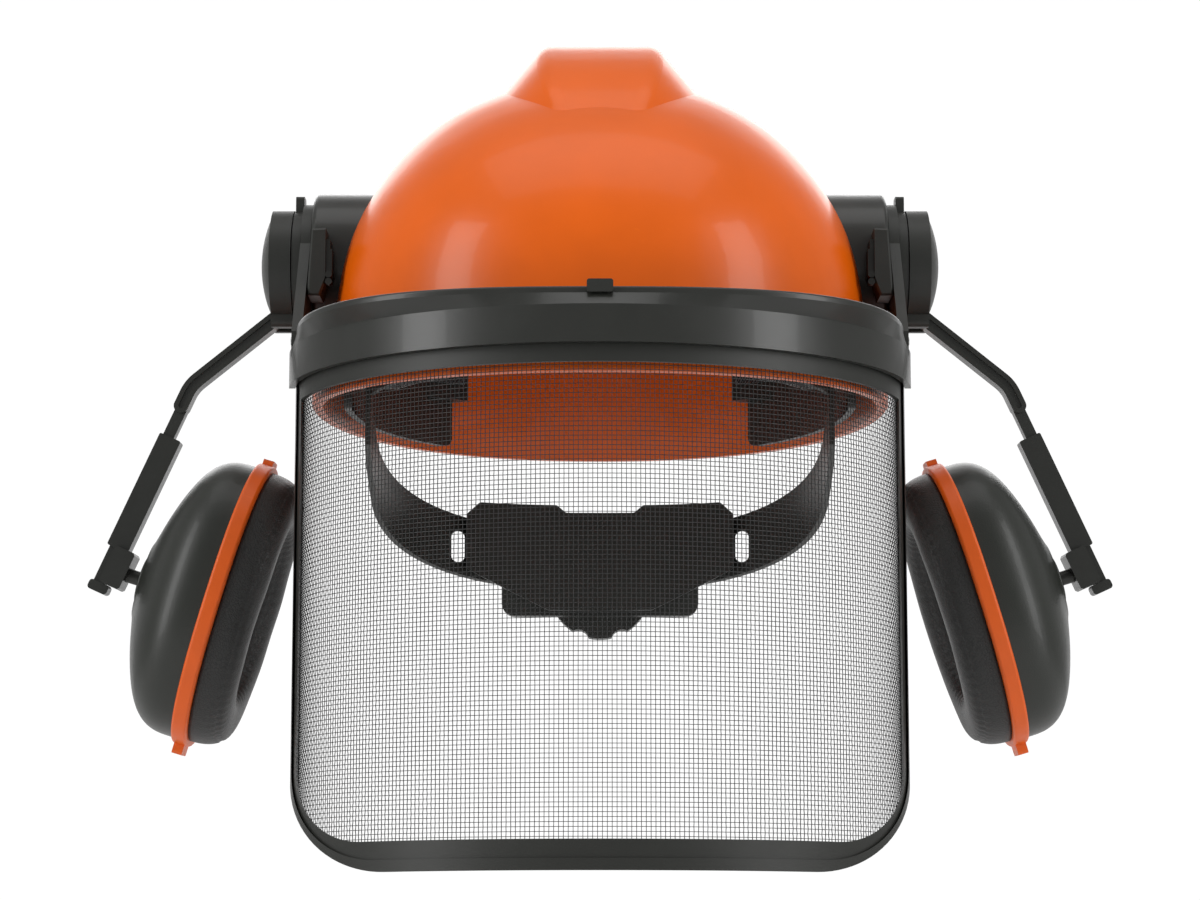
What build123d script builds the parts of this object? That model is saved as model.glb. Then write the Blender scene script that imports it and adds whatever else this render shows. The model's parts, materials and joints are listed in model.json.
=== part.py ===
from build123d import *
import os
from math import atan2, cos, pi, radians, sin, sqrt

# Forestry hard hat with a mesh visor and ear defenders, in millimetres.
# The front faces -Y, +Z is up, and left is the wearer's left, +X.
# The origin is the centre of the head opening, level with the shell's rim.

# ---- shell ----
shell_wall = 2.6
rim_half_width = 118.0
rim_front = 148.0
rim_back = 151.0
rim_widest_y = -30.0
rim_power = 2.15
rim_bead = 2.0
rim_bead_height = 6.0
dome_radius = 111.0
dome_centre_z = 33.5
ridge_top = 157.7
ridge_drop = 46.0
ridge_reach = 97.0
ridge_slope = 1.23
ridge_half_widths = ((0, 22.7), (30, 23.5), (55, 24.0), (78, 22.0), (92, 18.0), (104, 12.0))
ridge_edge_radius = 8.0
ridge_foot_depth = 14.0

# ---- side pivots ----
pivot_y = -22.0
pivot_z = 62.4
boss_radius = 31.0
boss_face = 120.0
boss_edge = 2.0
pin_radius = 7.0
pin_depth = 8.0
running_gap = 0.05
layer_gap = 0.4
hub_radius = 26.6
hub_thickness = 4.2
release_radius = 23.5
release_thickness = 3.6
release_travel = 2.0
release_tab_width = 9.0
release_tab_rise = 6.5
disc_radius = 24.0
disc_thickness = 9.0
disc_recess_radius = 12.4
disc_recess_depth = 4.0
cap_radius = 22.4
cap_height = 5.0
washer_radius = 11.6
washer_thickness = 1.2
screw_radius = 2.5
screw_head_radius = 5.5
screw_head_height = 2.2
plate_radius = 14.0
plate_face = 96.5
plate_screw_spacing = 17.0
plate_screw_radius = 2.0
plate_screw_head_radius = 3.6
plate_screw_head = 2.2
plate_screw_reach = 14.0

# ---- stop block in front of each boss ----
block_front = 66.0
leaf_inner = 110.4
leaf_outer = 112.6
stop_screw_radius = 1.4

# ---- visor ----
visor_front = 175.0
visor_lean = 2.0
guard_half_width = 127.0
guard_depth = 115.0
guard_wall = 2.6
guard_bottom = 7.5
guard_top = 22.0
guard_end = 103.0
lip_half_width = 123.0
lip_depth = 111.0
lip_power = 2.75
lip_bottom = 27.0
lip_thickness = 2.6
roof_gap = 2.6
latch_width = 10.0
latch_height = 3.0
frame_gap = 0.2
frame_wall = 1.8
frame_bead = 0.9
frame_border = 11.5
frame_side_border = 4.2
frame_bottom = -189.0
frame_top = 13.5
frame_window_top = 0.7
frame_corner = 43.0
frame_end = 103.0
mesh_thickness = 0.6
mesh_overlap = 4.0
arm_plate_front = 82.0
rivet_radius = 1.6
rivet_head_radius = 2.8
rivet_head = 0.9

# ---- headband, straps and nape ----
band_half_width = 100.0
band_centre_y = 25.0
band_front = 147.0
band_back = 112.0
band_power = 2.35
band_thickness = 2.0
band_bottom = 6.0
band_height = 30.0
sweat_thickness = 4.5
strap_thickness = 2.4
strap_height = 27.0
strap_front = 247.0
strap_start_y = -36.0
strap_start_z = -1.0
strap_slope = -0.28
strap_end_x = 49.0
strap_eye_x = 65.5
strap_eye_z = -43.7
strap_eye_width = 6.0
strap_eye_height = 14.5
bracket_thickness = 3.0
bracket_bottom = 1.0
bracket_top = 32.0
nape_half_width = 61.5
nape_bottom = -72.0
nape_top = -23.0
nape_pad_thickness = 4.0
crown_height = 112.0
crown_strap_width = 20.0
crown_strap_thickness = 1.2
crown_strap_gap = 0.5
crown_angle = 38.0
crown_spring_z = 33.0
crown_pad_radius = 30.0
crown_pad_thickness = 5.0
key_width = 24.0
key_height = 22.0

# ---- ratchet ----
knob_z = -60.0
knob_radius = 24.0
knob_depth = 14.0
knob_lobes = 8
knob_web = 3.6
shaft_head_radius = 4.4
shaft_head_height = 1.8
housing_half_width = 46.0
housing_half_height = 14.0
housing_depth = 10.0
housing_wall = 1.6
housing_corner = 6.0
neck_width = 56.0
neck_height = 18.0
neck_reach = 14.0
rack_seat = 1.8
knob_gap = 0.4
lobe_depth = 2.2
knob_bore = 0.62
pinion_teeth = 10
pinion_pitch_radius = 6.0
tooth_height = 2.2
rack_height = 5.0
rack_thickness = 3.0
rack_length = 44.0
rack_offset = 10.0
rack_teeth = 7
shaft_radius = 2.5

# ---- ear defenders ----
swing_x = 134.8
swing_z = 41.7
swing_pin_radius = 1.5
arm_eye_radius = 3.7
bend_x = 172.0
bend_z = 11.7
bend_radius = 16.0
rail_x = 206.8
rail_z = -64.4
arm_width = 6.2
arm_depth = 9.0
groove_width = 2.2
groove_depth = 1.0
fork_gap = 0.3
rail_inner = 3.0
rail_outer = 1.9
sleeve_start = -60.3
sleeve_end = -9.7
sleeve_inner = 6.5
sleeve_wall = 1.2
block_end = 6.8
block_inner = 10.2
block_outer = -1.0
block_half_depth = 8.0
slide_gap = 0.15
slide_travel = 10.0
stop_length = 4.2
cup_x = 156.6
cup_z = -80.5
cup_tilt = 16.8
ring_half_height = 61.0
ring_half_width = 47.0
ring_thickness = 6.7
ring_tab = 4.0
ring_tab_thickness = 4.4
ring_edge = 1.2
cup_half_height = 59.0
cup_half_width = 45.0
cup_wall = 2.4
cup_depth = 32.4
cup_boss_radius = 10.5
cup_power = 2.3
cushion_thickness = 15.0
cushion_hole_half_height = 33.0
cushion_hole_half_width = 21.0
cushion_edge = 5.5
baffle_thickness = 2.0
foam_thickness = 14.0
cup_pin_radius = 3.0
cup_pin_reach = 46.8

hub_face = boss_face + layer_gap
release_face = hub_face + hub_thickness + layer_gap
disc_face = release_face + release_thickness + layer_gap
disc_end = disc_face + disc_thickness
washer_face = disc_end - disc_recess_depth + layer_gap

os.makedirs("parts", exist_ok=True)


def save(name, shape):
    """Label one finished piece and write it."""
    shape.label = name
    export_step(shape, f"parts/{name}.step")


def save_pair(name, shape, fitted_to=None):
    """Write a piece of the wearer's left side and its mirrored twin."""
    save(f"left_{name}", shape)
    twin = shape.mirror(Plane.YZ)
    save(f"right_{name}", twin - fitted_to if fitted_to else twin)


def save_group(name, shape, fitted_to=None):
    """Write both sides' copies of a small piece as one node of separate solids."""
    twin = shape.mirror(Plane.YZ)
    if fitted_to:
        twin = twin - fitted_to
    save(name, Compound(children=[*shape.solids(), *twin.solids()]))


def signed_power(value, power):
    """A power that keeps the sign of its base."""
    return (1 if value >= 0 else -1) * abs(value) ** power


def oval_points(half_x, front, back, centre_y=0.0, power=2.0, count=36):
    """Points round a closed oval whose front and back halves differ in length."""
    points = []
    for i in range(count):
        turn = 2 * pi * i / count
        reach = back if sin(turn) >= 0 else front
        x = half_x * signed_power(cos(turn), 2 / power)
        y = centre_y + reach * signed_power(sin(turn), 2 / power)
        points.append((x, y))
    return points


def oval(half_x, front, back, centre_y=0.0, power=2.0, count=36):
    """A closed smooth oval as a sketch in its own XY plane."""
    with BuildSketch() as outline:
        with BuildLine():
            Spline(*oval_points(half_x, front, back, centre_y, power, count), periodic=True)
        make_face()
    return outline.sketch


def shell_oval(scale, grow=0.0):
    """The shell's outline at one height, as a share of the rim's."""
    return oval(
        rim_half_width * scale + grow,
        (rim_front + rim_widest_y) * scale + grow,
        (rim_back - rim_widest_y) * scale + grow,
        rim_widest_y * scale,
        rim_power,
    )


def dome_scale(z, wall=0.0):
    """Size of the dome's outline at height z, as a share of the rim's."""
    radius = dome_radius - wall
    if z >= dome_centre_z:
        half = sqrt(radius**2 - (z - dome_centre_z) ** 2)
    else:
        flare = (dome_centre_z - z) / dome_centre_z
        half = radius + (rim_half_width - dome_radius) * flare**2
    return half / rim_half_width


def dome_levels(wall, bottom):
    """Heights of the dome's outlines, from the rim to the flat under the ridge."""
    radius = dome_radius - wall
    low = [bottom, dome_centre_z * 0.45, dome_centre_z]
    return low + [dome_centre_z + radius * sin(radians(a)) for a in (14, 28, 42, 55, 67, 77)]


# ==== shell ====
with BuildPart() as dome_form:
    for z in dome_levels(0, 0):
        with BuildSketch(Plane.XY.offset(z)):
            add(shell_oval(dome_scale(z)))
    loft()

with BuildPart() as dome_core:
    for z in dome_levels(shell_wall, -1.0):
        with BuildSketch(Plane.XY.offset(z)):
            add(shell_oval(dome_scale(z, shell_wall)))
    loft()


def ridge_form(inset):
    """The raised band over the crown, smaller all round by inset."""
    stations = [(-y, half) for y, half in reversed(ridge_half_widths[1:])] + list(ridge_half_widths)
    reach = 1 - 2 * inset / ridge_reach
    with BuildPart() as ridge:
        for y, half in stations:
            top = ridge_top - ridge_drop * (abs(y) / ridge_reach) ** 2.75 - inset
            reach_y = rim_front if y < 0 else rim_back
            along = dome_radius**2 - (rim_half_width * y / reach_y) ** 2
            foot = dome_centre_z + sqrt(max(along, 0)) - ridge_foot_depth
            foot = min(foot, top - 4)
            top_half = half - 0.5 * inset
            foot_half = top_half + (top - foot) / ridge_slope
            with BuildSketch(Plane.XZ.offset(-y * reach)) as station:
                with BuildLine():
                    Polyline(
                        (-foot_half, foot),
                        (-top_half, top),
                        (top_half, top),
                        (foot_half, foot),
                        close=True,
                    )
                make_face()
                fillet(station.vertices().group_by(Axis.Y)[-1], ridge_edge_radius)
        loft()
    return ridge.part


with BuildPart() as shell:
    add(dome_form.part)
    add(ridge_form(0))
    with BuildSketch(Plane.XY):
        add(shell_oval(1, rim_bead))
    extrude(amount=rim_bead_height)
    fillet(shell.faces().filter_by(Plane.XY).sort_by(Axis.Z)[0].edges(), 1.2)
    add(dome_core.part, mode=Mode.SUBTRACT)
    add(ridge_form(shell_wall), mode=Mode.SUBTRACT)
    for side in (-1, 1):
        for step in (-0.5, 0.5):
            with BuildSketch(Plane.YZ.offset(side * plate_face)):
                with Locations((pivot_y + step * plate_screw_spacing, pivot_z)):
                    Circle(plate_screw_radius)
            extrude(amount=side * (boss_face - plate_face), mode=Mode.SUBTRACT)
save("shell", shell.part)


def disc(x, radius, length, inner=0.0):
    """A round plate about the pivot axis, from plane x outwards."""
    with BuildPart() as plate:
        with BuildSketch(Plane.YZ.offset(x)):
            with Locations((pivot_y, pivot_z)):
                Circle(radius)
                if inner > 0:
                    Circle(inner, mode=Mode.SUBTRACT)
        extrude(amount=length)
    return plate


# ==== side pivots, drawn for the left side and mirrored ====
with BuildPart() as boss:
    with BuildSketch(Plane.YZ.offset(boss_face - boss_radius)):
        with Locations((pivot_y, pivot_z)):
            Circle(boss_radius)
    extrude(amount=boss_radius)
    fillet(boss.edges().sort_by(Axis.X)[-1], boss_edge)
    add(dome_form.part, mode=Mode.SUBTRACT)
    with BuildSketch(Plane.YZ.offset(boss_face)):
        with Locations((pivot_y, pivot_z)):
            Circle(pin_radius)
    extrude(amount=-pin_depth, mode=Mode.SUBTRACT)
    with BuildSketch(Plane.YZ.offset(plate_face)):
        with Locations(
            (pivot_y - plate_screw_spacing / 2, pivot_z),
            (pivot_y + plate_screw_spacing / 2, pivot_z),
        ):
            Circle(plate_screw_radius)
    extrude(amount=plate_screw_reach + 2, mode=Mode.SUBTRACT)
save_group("pivot_bosses", boss.part, shell.part)

with BuildPart() as backing_plate:
    with BuildSketch(Plane.YZ.offset(plate_face)):
        with Locations((pivot_y, pivot_z)):
            Circle(plate_radius)
    extrude(amount=plate_screw_reach)
    add(dome_core.part, mode=Mode.INTERSECT)
    with BuildSketch(Plane.YZ.offset(plate_face)):
        with Locations(
            (pivot_y - plate_screw_spacing / 2, pivot_z),
            (pivot_y + plate_screw_spacing / 2, pivot_z),
        ):
            Circle(plate_screw_radius)
    extrude(amount=plate_screw_reach, mode=Mode.SUBTRACT)
save_group("backing_plates", backing_plate.part, shell.part)

with BuildPart() as boss_screws:
    for step in (-0.5, 0.5):
        centre = (pivot_y + step * plate_screw_spacing, pivot_z)
        with BuildSketch(Plane.YZ.offset(plate_face)):
            with Locations(centre):
                Circle(plate_screw_radius)
        extrude(amount=plate_screw_reach)
        with BuildSketch(Plane.YZ.offset(plate_face)):
            with Locations(centre):
                Circle(plate_screw_head_radius)
        extrude(amount=-plate_screw_head)
save_group("boss_screws", boss_screws.part)

with BuildPart() as pivot_pin:
    with BuildSketch(Plane.YZ.offset(boss_face - pin_depth)):
        with Locations((pivot_y, pivot_z)):
            Circle(pin_radius)
    extrude(amount=washer_face - boss_face + pin_depth)
    with BuildSketch(Plane.YZ.offset(washer_face)):
        with Locations((pivot_y, pivot_z)):
            Circle(screw_radius)
    extrude(amount=-pin_depth, mode=Mode.SUBTRACT)
save_group("pivot_pins", pivot_pin.part)

washer = disc(washer_face, washer_radius, washer_thickness, screw_radius)
save_group("pivot_washers", washer.part)

with BuildPart() as pivot_screw:
    with BuildSketch(Plane.YZ.offset(washer_face + washer_thickness)):
        with Locations((pivot_y, pivot_z)):
            Circle(screw_radius)
    extrude(amount=-pin_depth - washer_thickness)
    with BuildSketch(Plane.YZ.offset(washer_face + washer_thickness)):
        with Locations((pivot_y, pivot_z)):
            Circle(screw_head_radius)
    extrude(amount=screw_head_height)
    fillet(pivot_screw.edges().sort_by(Axis.X)[-1], 0.9)
save_group("pivot_screws", pivot_screw.part)

with BuildPart() as release_tab:
    with BuildSketch(Plane.YZ.offset(release_face)):
        with Locations((pivot_y, pivot_z)):
            Circle(release_radius)
        with Locations((pivot_y, pivot_z + release_radius)):
            RectangleRounded(release_tab_width, 2 * release_tab_rise, 1.5)
        with Locations((pivot_y, pivot_z + release_travel / 2)):
            bore = 2 * (pin_radius + running_gap)
            SlotCenterToCenter(release_travel, bore, rotation=90, mode=Mode.SUBTRACT)
    extrude(amount=release_thickness)
save_pair("release_tab", release_tab.part)

# Turning disc with a fork for the ear defender's arm at its lower edge.
fork_half = arm_depth / 2 + fork_gap
fork_top = swing_z + arm_eye_radius + fork_gap
fork_back = swing_x - arm_eye_radius - fork_gap
swing_pin_length = arm_depth + 8.0
disc_lobe = 6.0
with BuildPart() as turning_disc:
    with BuildSketch(Plane.YZ.offset(disc_face)):
        with Locations((pivot_y, pivot_z)):
            Circle(disc_radius)
        with Locations((pivot_y, swing_z)):
            RectangleRounded(arm_depth + 12.0, 2 * disc_lobe, 2.5)
    extrude(amount=disc_thickness)
    with BuildSketch(Plane.YZ.offset(disc_face)):
        with Locations((pivot_y, pivot_z)):
            Circle(pin_radius + running_gap)
    extrude(amount=disc_thickness, mode=Mode.SUBTRACT)
    with BuildSketch(Plane.YZ.offset(disc_end)):
        with Locations((pivot_y, pivot_z)):
            Circle(disc_recess_radius)
    extrude(amount=-disc_recess_depth, mode=Mode.SUBTRACT)
    with BuildSketch(Plane.XZ.offset(-pivot_y)):
        with BuildLine():
            Polyline(
                (fork_back, fork_top),
                (disc_end + 1, fork_top),
                (disc_end + 1, swing_z - 3 * disc_lobe),
                (disc_face - 1, swing_z - 3 * disc_lobe),
                (disc_face - 1, swing_z - disc_lobe),
                (fork_back, swing_z - 1),
                close=True,
            )
        make_face()
    extrude(amount=fork_half, both=True, mode=Mode.SUBTRACT)
    with BuildSketch(Plane.XZ.offset(-pivot_y)):
        with Locations((swing_x, swing_z)):
            Circle(swing_pin_radius)
    extrude(amount=swing_pin_length / 2, both=True, mode=Mode.SUBTRACT)
save_pair("turning_disc", turning_disc.part)

with BuildPart() as swing_pin:
    with BuildSketch(Plane.XZ.offset(-pivot_y)):
        with Locations((swing_x, swing_z)):
            Circle(swing_pin_radius)
    extrude(amount=swing_pin_length / 2, both=True)
save_pair("swing_pin", swing_pin.part)

cap_sphere = (cap_radius**2 + cap_height**2) / (2 * cap_height)
with BuildPart() as disc_cap:
    with BuildSketch(Plane.XZ.offset(-pivot_y)):
        with BuildLine():
            Line((disc_end, pivot_z), (disc_end + cap_height, pivot_z))
            ThreePointArc(
                (disc_end + cap_height, pivot_z),
                (
                    disc_end + cap_height - cap_sphere + sqrt(cap_sphere**2 - (cap_radius / 2) ** 2),
                    pivot_z + cap_radius / 2,
                ),
                (disc_end, pivot_z + cap_radius),
            )
            Line((disc_end, pivot_z + cap_radius), (disc_end, pivot_z))
        make_face()
    revolve(axis=Axis((disc_end, pivot_y, pivot_z), (1, 0, 0)))
    with BuildSketch(Plane.YZ.offset(disc_end)):
        with Locations((pivot_y, pivot_z - cap_radius)):
            Rectangle(2 * fork_half, 2 * (cap_radius - pivot_z + fork_top))
    extrude(amount=cap_height, mode=Mode.SUBTRACT)
save_pair("disc_cap", disc_cap.part)

# Stop block, leaf plates and screws that sit in front of the boss.
stop_back = pivot_y - boss_radius + 8.0
with BuildPart() as stop_block:
    with BuildSketch(Plane.XZ.offset(block_front)):
        with BuildLine():
            Polyline(
                (leaf_outer, pivot_z + 9.0),
                (leaf_outer, pivot_z - 13.6),
                (leaf_outer + 2.2, pivot_z - 19.2),
                (boss_face - 0.2, pivot_z - 19.0),
                (boss_face - 0.2, pivot_z - 13.4),
                (boss_face - 1.6, pivot_z + 8.7),
                close=True,
            )
        make_face()
    extrude(amount=-(block_front + stop_back))
    chamfer(stop_block.faces().sort_by(Axis.Y)[0].edges().filter_by(Axis.Z, reverse=True), 0.8)
    add(boss.part, mode=Mode.SUBTRACT)
    add(dome_form.part, mode=Mode.SUBTRACT)
save_group("stop_blocks", stop_block.part)

leaf_front = block_front - 2.0
with BuildPart() as stop_leaves:
    with BuildSketch(Plane.XZ.offset(leaf_front)):
        with Locations((leaf_outer - 0.9, pivot_z - 4.0)):
            Rectangle(1.8, 17.0)
        with Locations((leaf_inner, pivot_z - 5.0)):
            Rectangle(0.8, 11.0)
        with Locations((leaf_inner + 0.4, pivot_z - 9.0)):
            Rectangle(1.4, 2.0)
    extrude(amount=-(leaf_front + stop_back))
    add(boss.part, mode=Mode.SUBTRACT)
    add(dome_form.part, mode=Mode.SUBTRACT)
save_group("stop_leaves", stop_leaves.part)

with BuildPart() as stop_screws:
    with BuildSketch(Plane.XZ.offset(leaf_front)):
        with Locations((leaf_outer - 1.4, pivot_z - 10.4), (leaf_outer - 1.4, pivot_z - 13.4)):
            Circle(stop_screw_radius)
    extrude(amount=2.4)
save_group("stop_screws", stop_screws.part)

# ==== visor ====
lean = radians(visor_lean)
visor_plane = Plane(origin=(0, -visor_front, 0), x_dir=(1, 0, 0), z_dir=(0, sin(lean), cos(lean)))
front_plane = Plane(
    origin=(0, -visor_front, 0),
    x_dir=(1, 0, 0),
    z_dir=(0, -cos(lean), sin(lean)),
)


def visor_oval(inset, power=2.0):
    """The visor's outline in plan, smaller by inset, in the visor's own plane."""
    return oval(guard_half_width - inset, guard_depth - inset, guard_depth - inset, guard_depth, power, 48)


def front_half(depth, low, high):
    """A block that keeps only what lies in front of a station of the visor."""
    with BuildPart() as half:
        with BuildSketch(visor_plane.offset(low)):
            with Locations((0, depth / 2 - 20)):
                Rectangle(4 * guard_half_width, depth + 40)
        extrude(amount=high - low)
    return half.part


with BuildPart() as brow_guard:
    with BuildSketch(visor_plane.offset(guard_bottom)):
        add(visor_oval(0))
        add(visor_oval(guard_wall), mode=Mode.SUBTRACT)
    extrude(amount=guard_top - guard_bottom)
    with BuildSketch(visor_plane.offset(guard_top)):
        add(visor_oval(0))
    with BuildSketch(visor_plane.offset(lip_bottom)):
        add(oval(lip_half_width, lip_depth, lip_depth, guard_depth, lip_power, 48))
    loft()
    with BuildSketch(visor_plane.offset(guard_top)):
        add(visor_oval(guard_wall))
    with BuildSketch(visor_plane.offset(lip_bottom)):
        reach = lip_depth - guard_wall
        add(oval(lip_half_width - guard_wall, reach, reach, guard_depth, lip_power, 48))
    loft(mode=Mode.SUBTRACT)
    add(front_half(guard_end, guard_bottom - 1, lip_bottom + 1), mode=Mode.INTERSECT)
save("brow_guard", brow_guard.part)

roof_scale = dome_scale(lip_bottom)
with BuildPart() as guard_roof:
    with BuildSketch(visor_plane.offset(lip_bottom)):
        add(oval(lip_half_width, lip_depth, lip_depth, guard_depth, lip_power, 48))
    extrude(amount=lip_thickness)
    fillet(guard_roof.edges().group_by(Axis.Z)[-1], 1.1)
    with BuildSketch(Plane.XY.offset(lip_bottom - 12)):
        add(shell_oval(roof_scale, roof_gap))
    extrude(amount=lip_thickness + 24, mode=Mode.SUBTRACT)
    add(front_half(guard_end - 14, lip_bottom - 1, lip_bottom + lip_thickness + 1), mode=Mode.INTERSECT)
save("guard_roof", guard_roof.part)

latch_front = visor_front - guard_depth + lip_depth
with BuildPart() as centre_latch:
    with BuildSketch(Plane.XZ.offset(latch_front - 1.4)):
        with Locations((0, lip_bottom + lip_thickness / 2 + 1.0)):
            RectangleRounded(latch_width, latch_height + 2.0, 1.0)
    extrude(amount=2.4)
    add(guard_roof.part, mode=Mode.SUBTRACT)
    add(brow_guard.part, mode=Mode.SUBTRACT)


def frame_outline(inset):
    """The visor frame's outer shape seen from the front, smaller all round by inset."""
    half = guard_half_width - guard_wall - frame_gap - inset * frame_side_border / frame_border
    low = frame_bottom + inset
    with BuildSketch() as outline:
        with Locations((0, (frame_top + low) / 2)):
            Rectangle(2 * half, frame_top - low)
        corner = max(frame_corner - 1.15 * inset, 4.0)
        fillet(outline.vertices().group_by(Axis.Y)[0], corner)
    return outline.sketch


frame_inset = guard_wall + frame_gap


def frame_shell(outer, inner, plan):
    """A stretch of the visor's curved wall between two offsets, cut to a front outline."""
    with BuildPart() as curved:
        with BuildSketch(visor_plane.offset(frame_bottom - 1)):
            add(visor_oval(outer))
            add(visor_oval(inner), mode=Mode.SUBTRACT)
        extrude(amount=frame_top - frame_bottom + 2)
        with BuildSketch(front_plane.offset(5)):
            add(plan)
        extrude(amount=-(frame_end + 5), mode=Mode.INTERSECT)
    return curved.part


with BuildSketch() as frame_ring:
    add(frame_outline(0))
    with BuildSketch(mode=Mode.SUBTRACT):
        add(frame_outline(frame_border))
        with Locations((0, frame_window_top + frame_border)):
            Rectangle(4 * guard_half_width, 2 * frame_border, mode=Mode.SUBTRACT)

with BuildSketch() as frame_rim:
    add(frame_outline(0))
    add(frame_outline(4.5), mode=Mode.SUBTRACT)

with BuildPart() as visor_frame:
    add(frame_shell(frame_inset + frame_bead, frame_inset + frame_bead + frame_wall, frame_ring.sketch))
    add(frame_shell(frame_inset, frame_inset + frame_bead + frame_wall, frame_rim.sketch))
save("visor_frame", visor_frame.part)

mesh_outer = frame_inset + frame_bead + frame_wall
with BuildPart() as visor_mesh:
    add(frame_shell(mesh_outer, mesh_outer + mesh_thickness, frame_outline(frame_border - mesh_overlap)))
save("visor_mesh", visor_mesh.part)
save("centre_latch", centre_latch.part)

# Arm from the guard's end up to the pivot, with its hub.
with BuildPart() as visor_arm:
    with BuildSketch(Plane.YZ.offset(hub_face)):
        with BuildLine():
            Polyline(
                (-arm_plate_front, frame_top + 2.0),
                (-arm_plate_front, lip_bottom - 1.0),
                (pivot_y - hub_radius * 0.97, pivot_z + 6.0),
                (pivot_y, pivot_z),
                (pivot_y - hub_radius * 0.6, pivot_z - hub_radius * 0.8),
                (-visor_front + guard_end, frame_top - 4.0),
                (-visor_front + guard_end, frame_top + 2.0),
                close=True,
            )
        make_face()
        with Locations((pivot_y, pivot_z)):
            Circle(hub_radius)
            Circle(pin_radius + running_gap, mode=Mode.SUBTRACT)
    extrude(amount=hub_thickness)
    add(brow_guard.part, mode=Mode.SUBTRACT)
    add(visor_frame.part, mode=Mode.SUBTRACT)
    add(visor_mesh.part, mode=Mode.SUBTRACT)
save_pair("visor_arm", visor_arm.part, brow_guard.part)

with BuildPart() as arm_rivets:
    for z in (frame_top + 4.0, frame_top + 9.0):
        with BuildSketch(Plane.YZ.offset(hub_face + 0.6)):
            with Locations((-arm_plate_front + 5.0, z)):
                Circle(rivet_radius)
        extrude(amount=hub_thickness)
    add(visor_arm.part, mode=Mode.SUBTRACT)
    add(brow_guard.part, mode=Mode.SUBTRACT)

with BuildPart() as guard_rivets:
    for turn in (-64, -34, 0, 34, 64):
        spot = radians(turn)
        reach = guard_half_width - mesh_outer - mesh_thickness
        away = guard_depth - mesh_outer - mesh_thickness
        place = Plane(
            origin=visor_plane.from_local_coords(
                Vector(reach * sin(spot), guard_depth - away * cos(spot), frame_top - 3.2)
            ),
            z_dir=visor_plane.z_dir.cross(Vector(cos(spot) * reach, sin(spot) * away, 0)) * -1,
        )
        with BuildSketch(place):
            Circle(rivet_head_radius)
        extrude(amount=-rivet_head, both=True)
    add(visor_mesh.part, mode=Mode.SUBTRACT)
    add(visor_frame.part, mode=Mode.SUBTRACT)

arm_rivet_solids = [*arm_rivets.part.solids(), *arm_rivets.part.mirror(Plane.YZ).solids()]
save("visor_rivets", Compound(children=[*guard_rivets.part.solids(), *arm_rivet_solids]))

# ==== ear defenders, drawn for the left side and mirrored ====
rail_angle = atan2(rail_z - bend_z, rail_x - bend_x)
rail_plane = Plane(
    origin=(rail_x, pivot_y, rail_z),
    x_dir=(cos(rail_angle), 0, sin(rail_angle)),
    z_dir=(0, -1, 0),
)
bar_end = sleeve_start - slide_travel - 0.8 - arm_width / 2
tilt = radians(cup_tilt)
cup_plane = Plane(origin=(cup_x, pivot_y, cup_z), x_dir=(0, 1, 0), z_dir=(cos(tilt), 0, sin(tilt)))


def arm_bar(width):
    """The bent bar of the arm seen from the front, with round ends."""
    end = rail_plane.from_local_coords(Vector(bar_end, 0, 0))
    with BuildSketch() as bar:
        with BuildLine():
            FilletPolyline(
                (swing_x, swing_z),
                (bend_x, bend_z),
                (end.X, end.Z),
                radius=bend_radius,
            )
            offset(amount=width / 2, side=Side.BOTH)
        make_face()
    return bar.sketch


def rail_box(start, end, inner, outer, half_depth):
    """A block along the rail: inner and outer are measured across it, towards and off the head."""
    with BuildPart() as block:
        with BuildSketch(rail_plane):
            with Locations(((start + end) / 2, (outer - inner) / 2)):
                Rectangle(end - start, inner + outer)
        extrude(amount=half_depth, both=True)
    return block


rail_half_depth = arm_depth / 2 - 1.4
stop_start = block_end + slide_gap
with BuildPart() as arm_stop:
    stop_end = stop_start + stop_length
    add(rail_box(stop_start, stop_end, rail_inner + 2.6, rail_outer + sleeve_wall, arm_depth / 2).part)
    fillet(arm_stop.edges().filter_by(Axis.Y), 1.4)

with BuildPart() as muff_arm:
    with BuildSketch(Plane.XZ.offset(-pivot_y)):
        add(arm_bar(arm_width))
        with Locations((swing_x, swing_z)):
            Circle(arm_eye_radius)
            Circle(swing_pin_radius + running_gap, mode=Mode.SUBTRACT)
    extrude(amount=arm_depth / 2, both=True)
    for side in (-1, 1):
        with BuildSketch(Plane.XZ.offset(-pivot_y + side * arm_depth / 2)):
            add(arm_bar(groove_width))
            with Locations((swing_x, swing_z)):
                Circle(arm_eye_radius + 1, mode=Mode.SUBTRACT)
        extrude(amount=-side * groove_depth, mode=Mode.SUBTRACT)
    add(rail_box(bar_end - 2, stop_start + 1, rail_inner, rail_outer, rail_half_depth).part)
    add(arm_stop.part)
save_pair("muff_arm", muff_arm.part)

channel = rail_box(
    sleeve_start - 5,
    block_end + 5,
    rail_inner + slide_gap,
    rail_outer + slide_gap,
    rail_half_depth + slide_gap,
)
with BuildPart() as slide_sleeve:
    add(rail_box(sleeve_start, sleeve_end + 1, sleeve_inner, rail_outer + sleeve_wall, arm_depth / 2).part)
    fillet(slide_sleeve.edges().filter_by(Axis.Y), 0.8)

with BuildPart() as slide_block:
    add(rail_box(sleeve_end, block_end, block_inner, block_outer, block_half_depth).part)
    chamfer(slide_block.edges().filter_by(Axis.Y), 0.9)
    add(slide_sleeve.part)
    add(channel.part, mode=Mode.SUBTRACT)
    with BuildSketch(cup_plane.offset(cup_pin_reach - 10)):
        Circle(cup_pin_radius + running_gap)
    extrude(amount=10.3, mode=Mode.SUBTRACT)
save_pair("slide_block", slide_block.part)

ring_half = ring_thickness / 2
cup_profile = ((0, 0), (0.27, 0.6), (0.46, 3.5), (0.61, 9), (0.75, 18), (0.88, 30), (1.0, 43))


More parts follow.
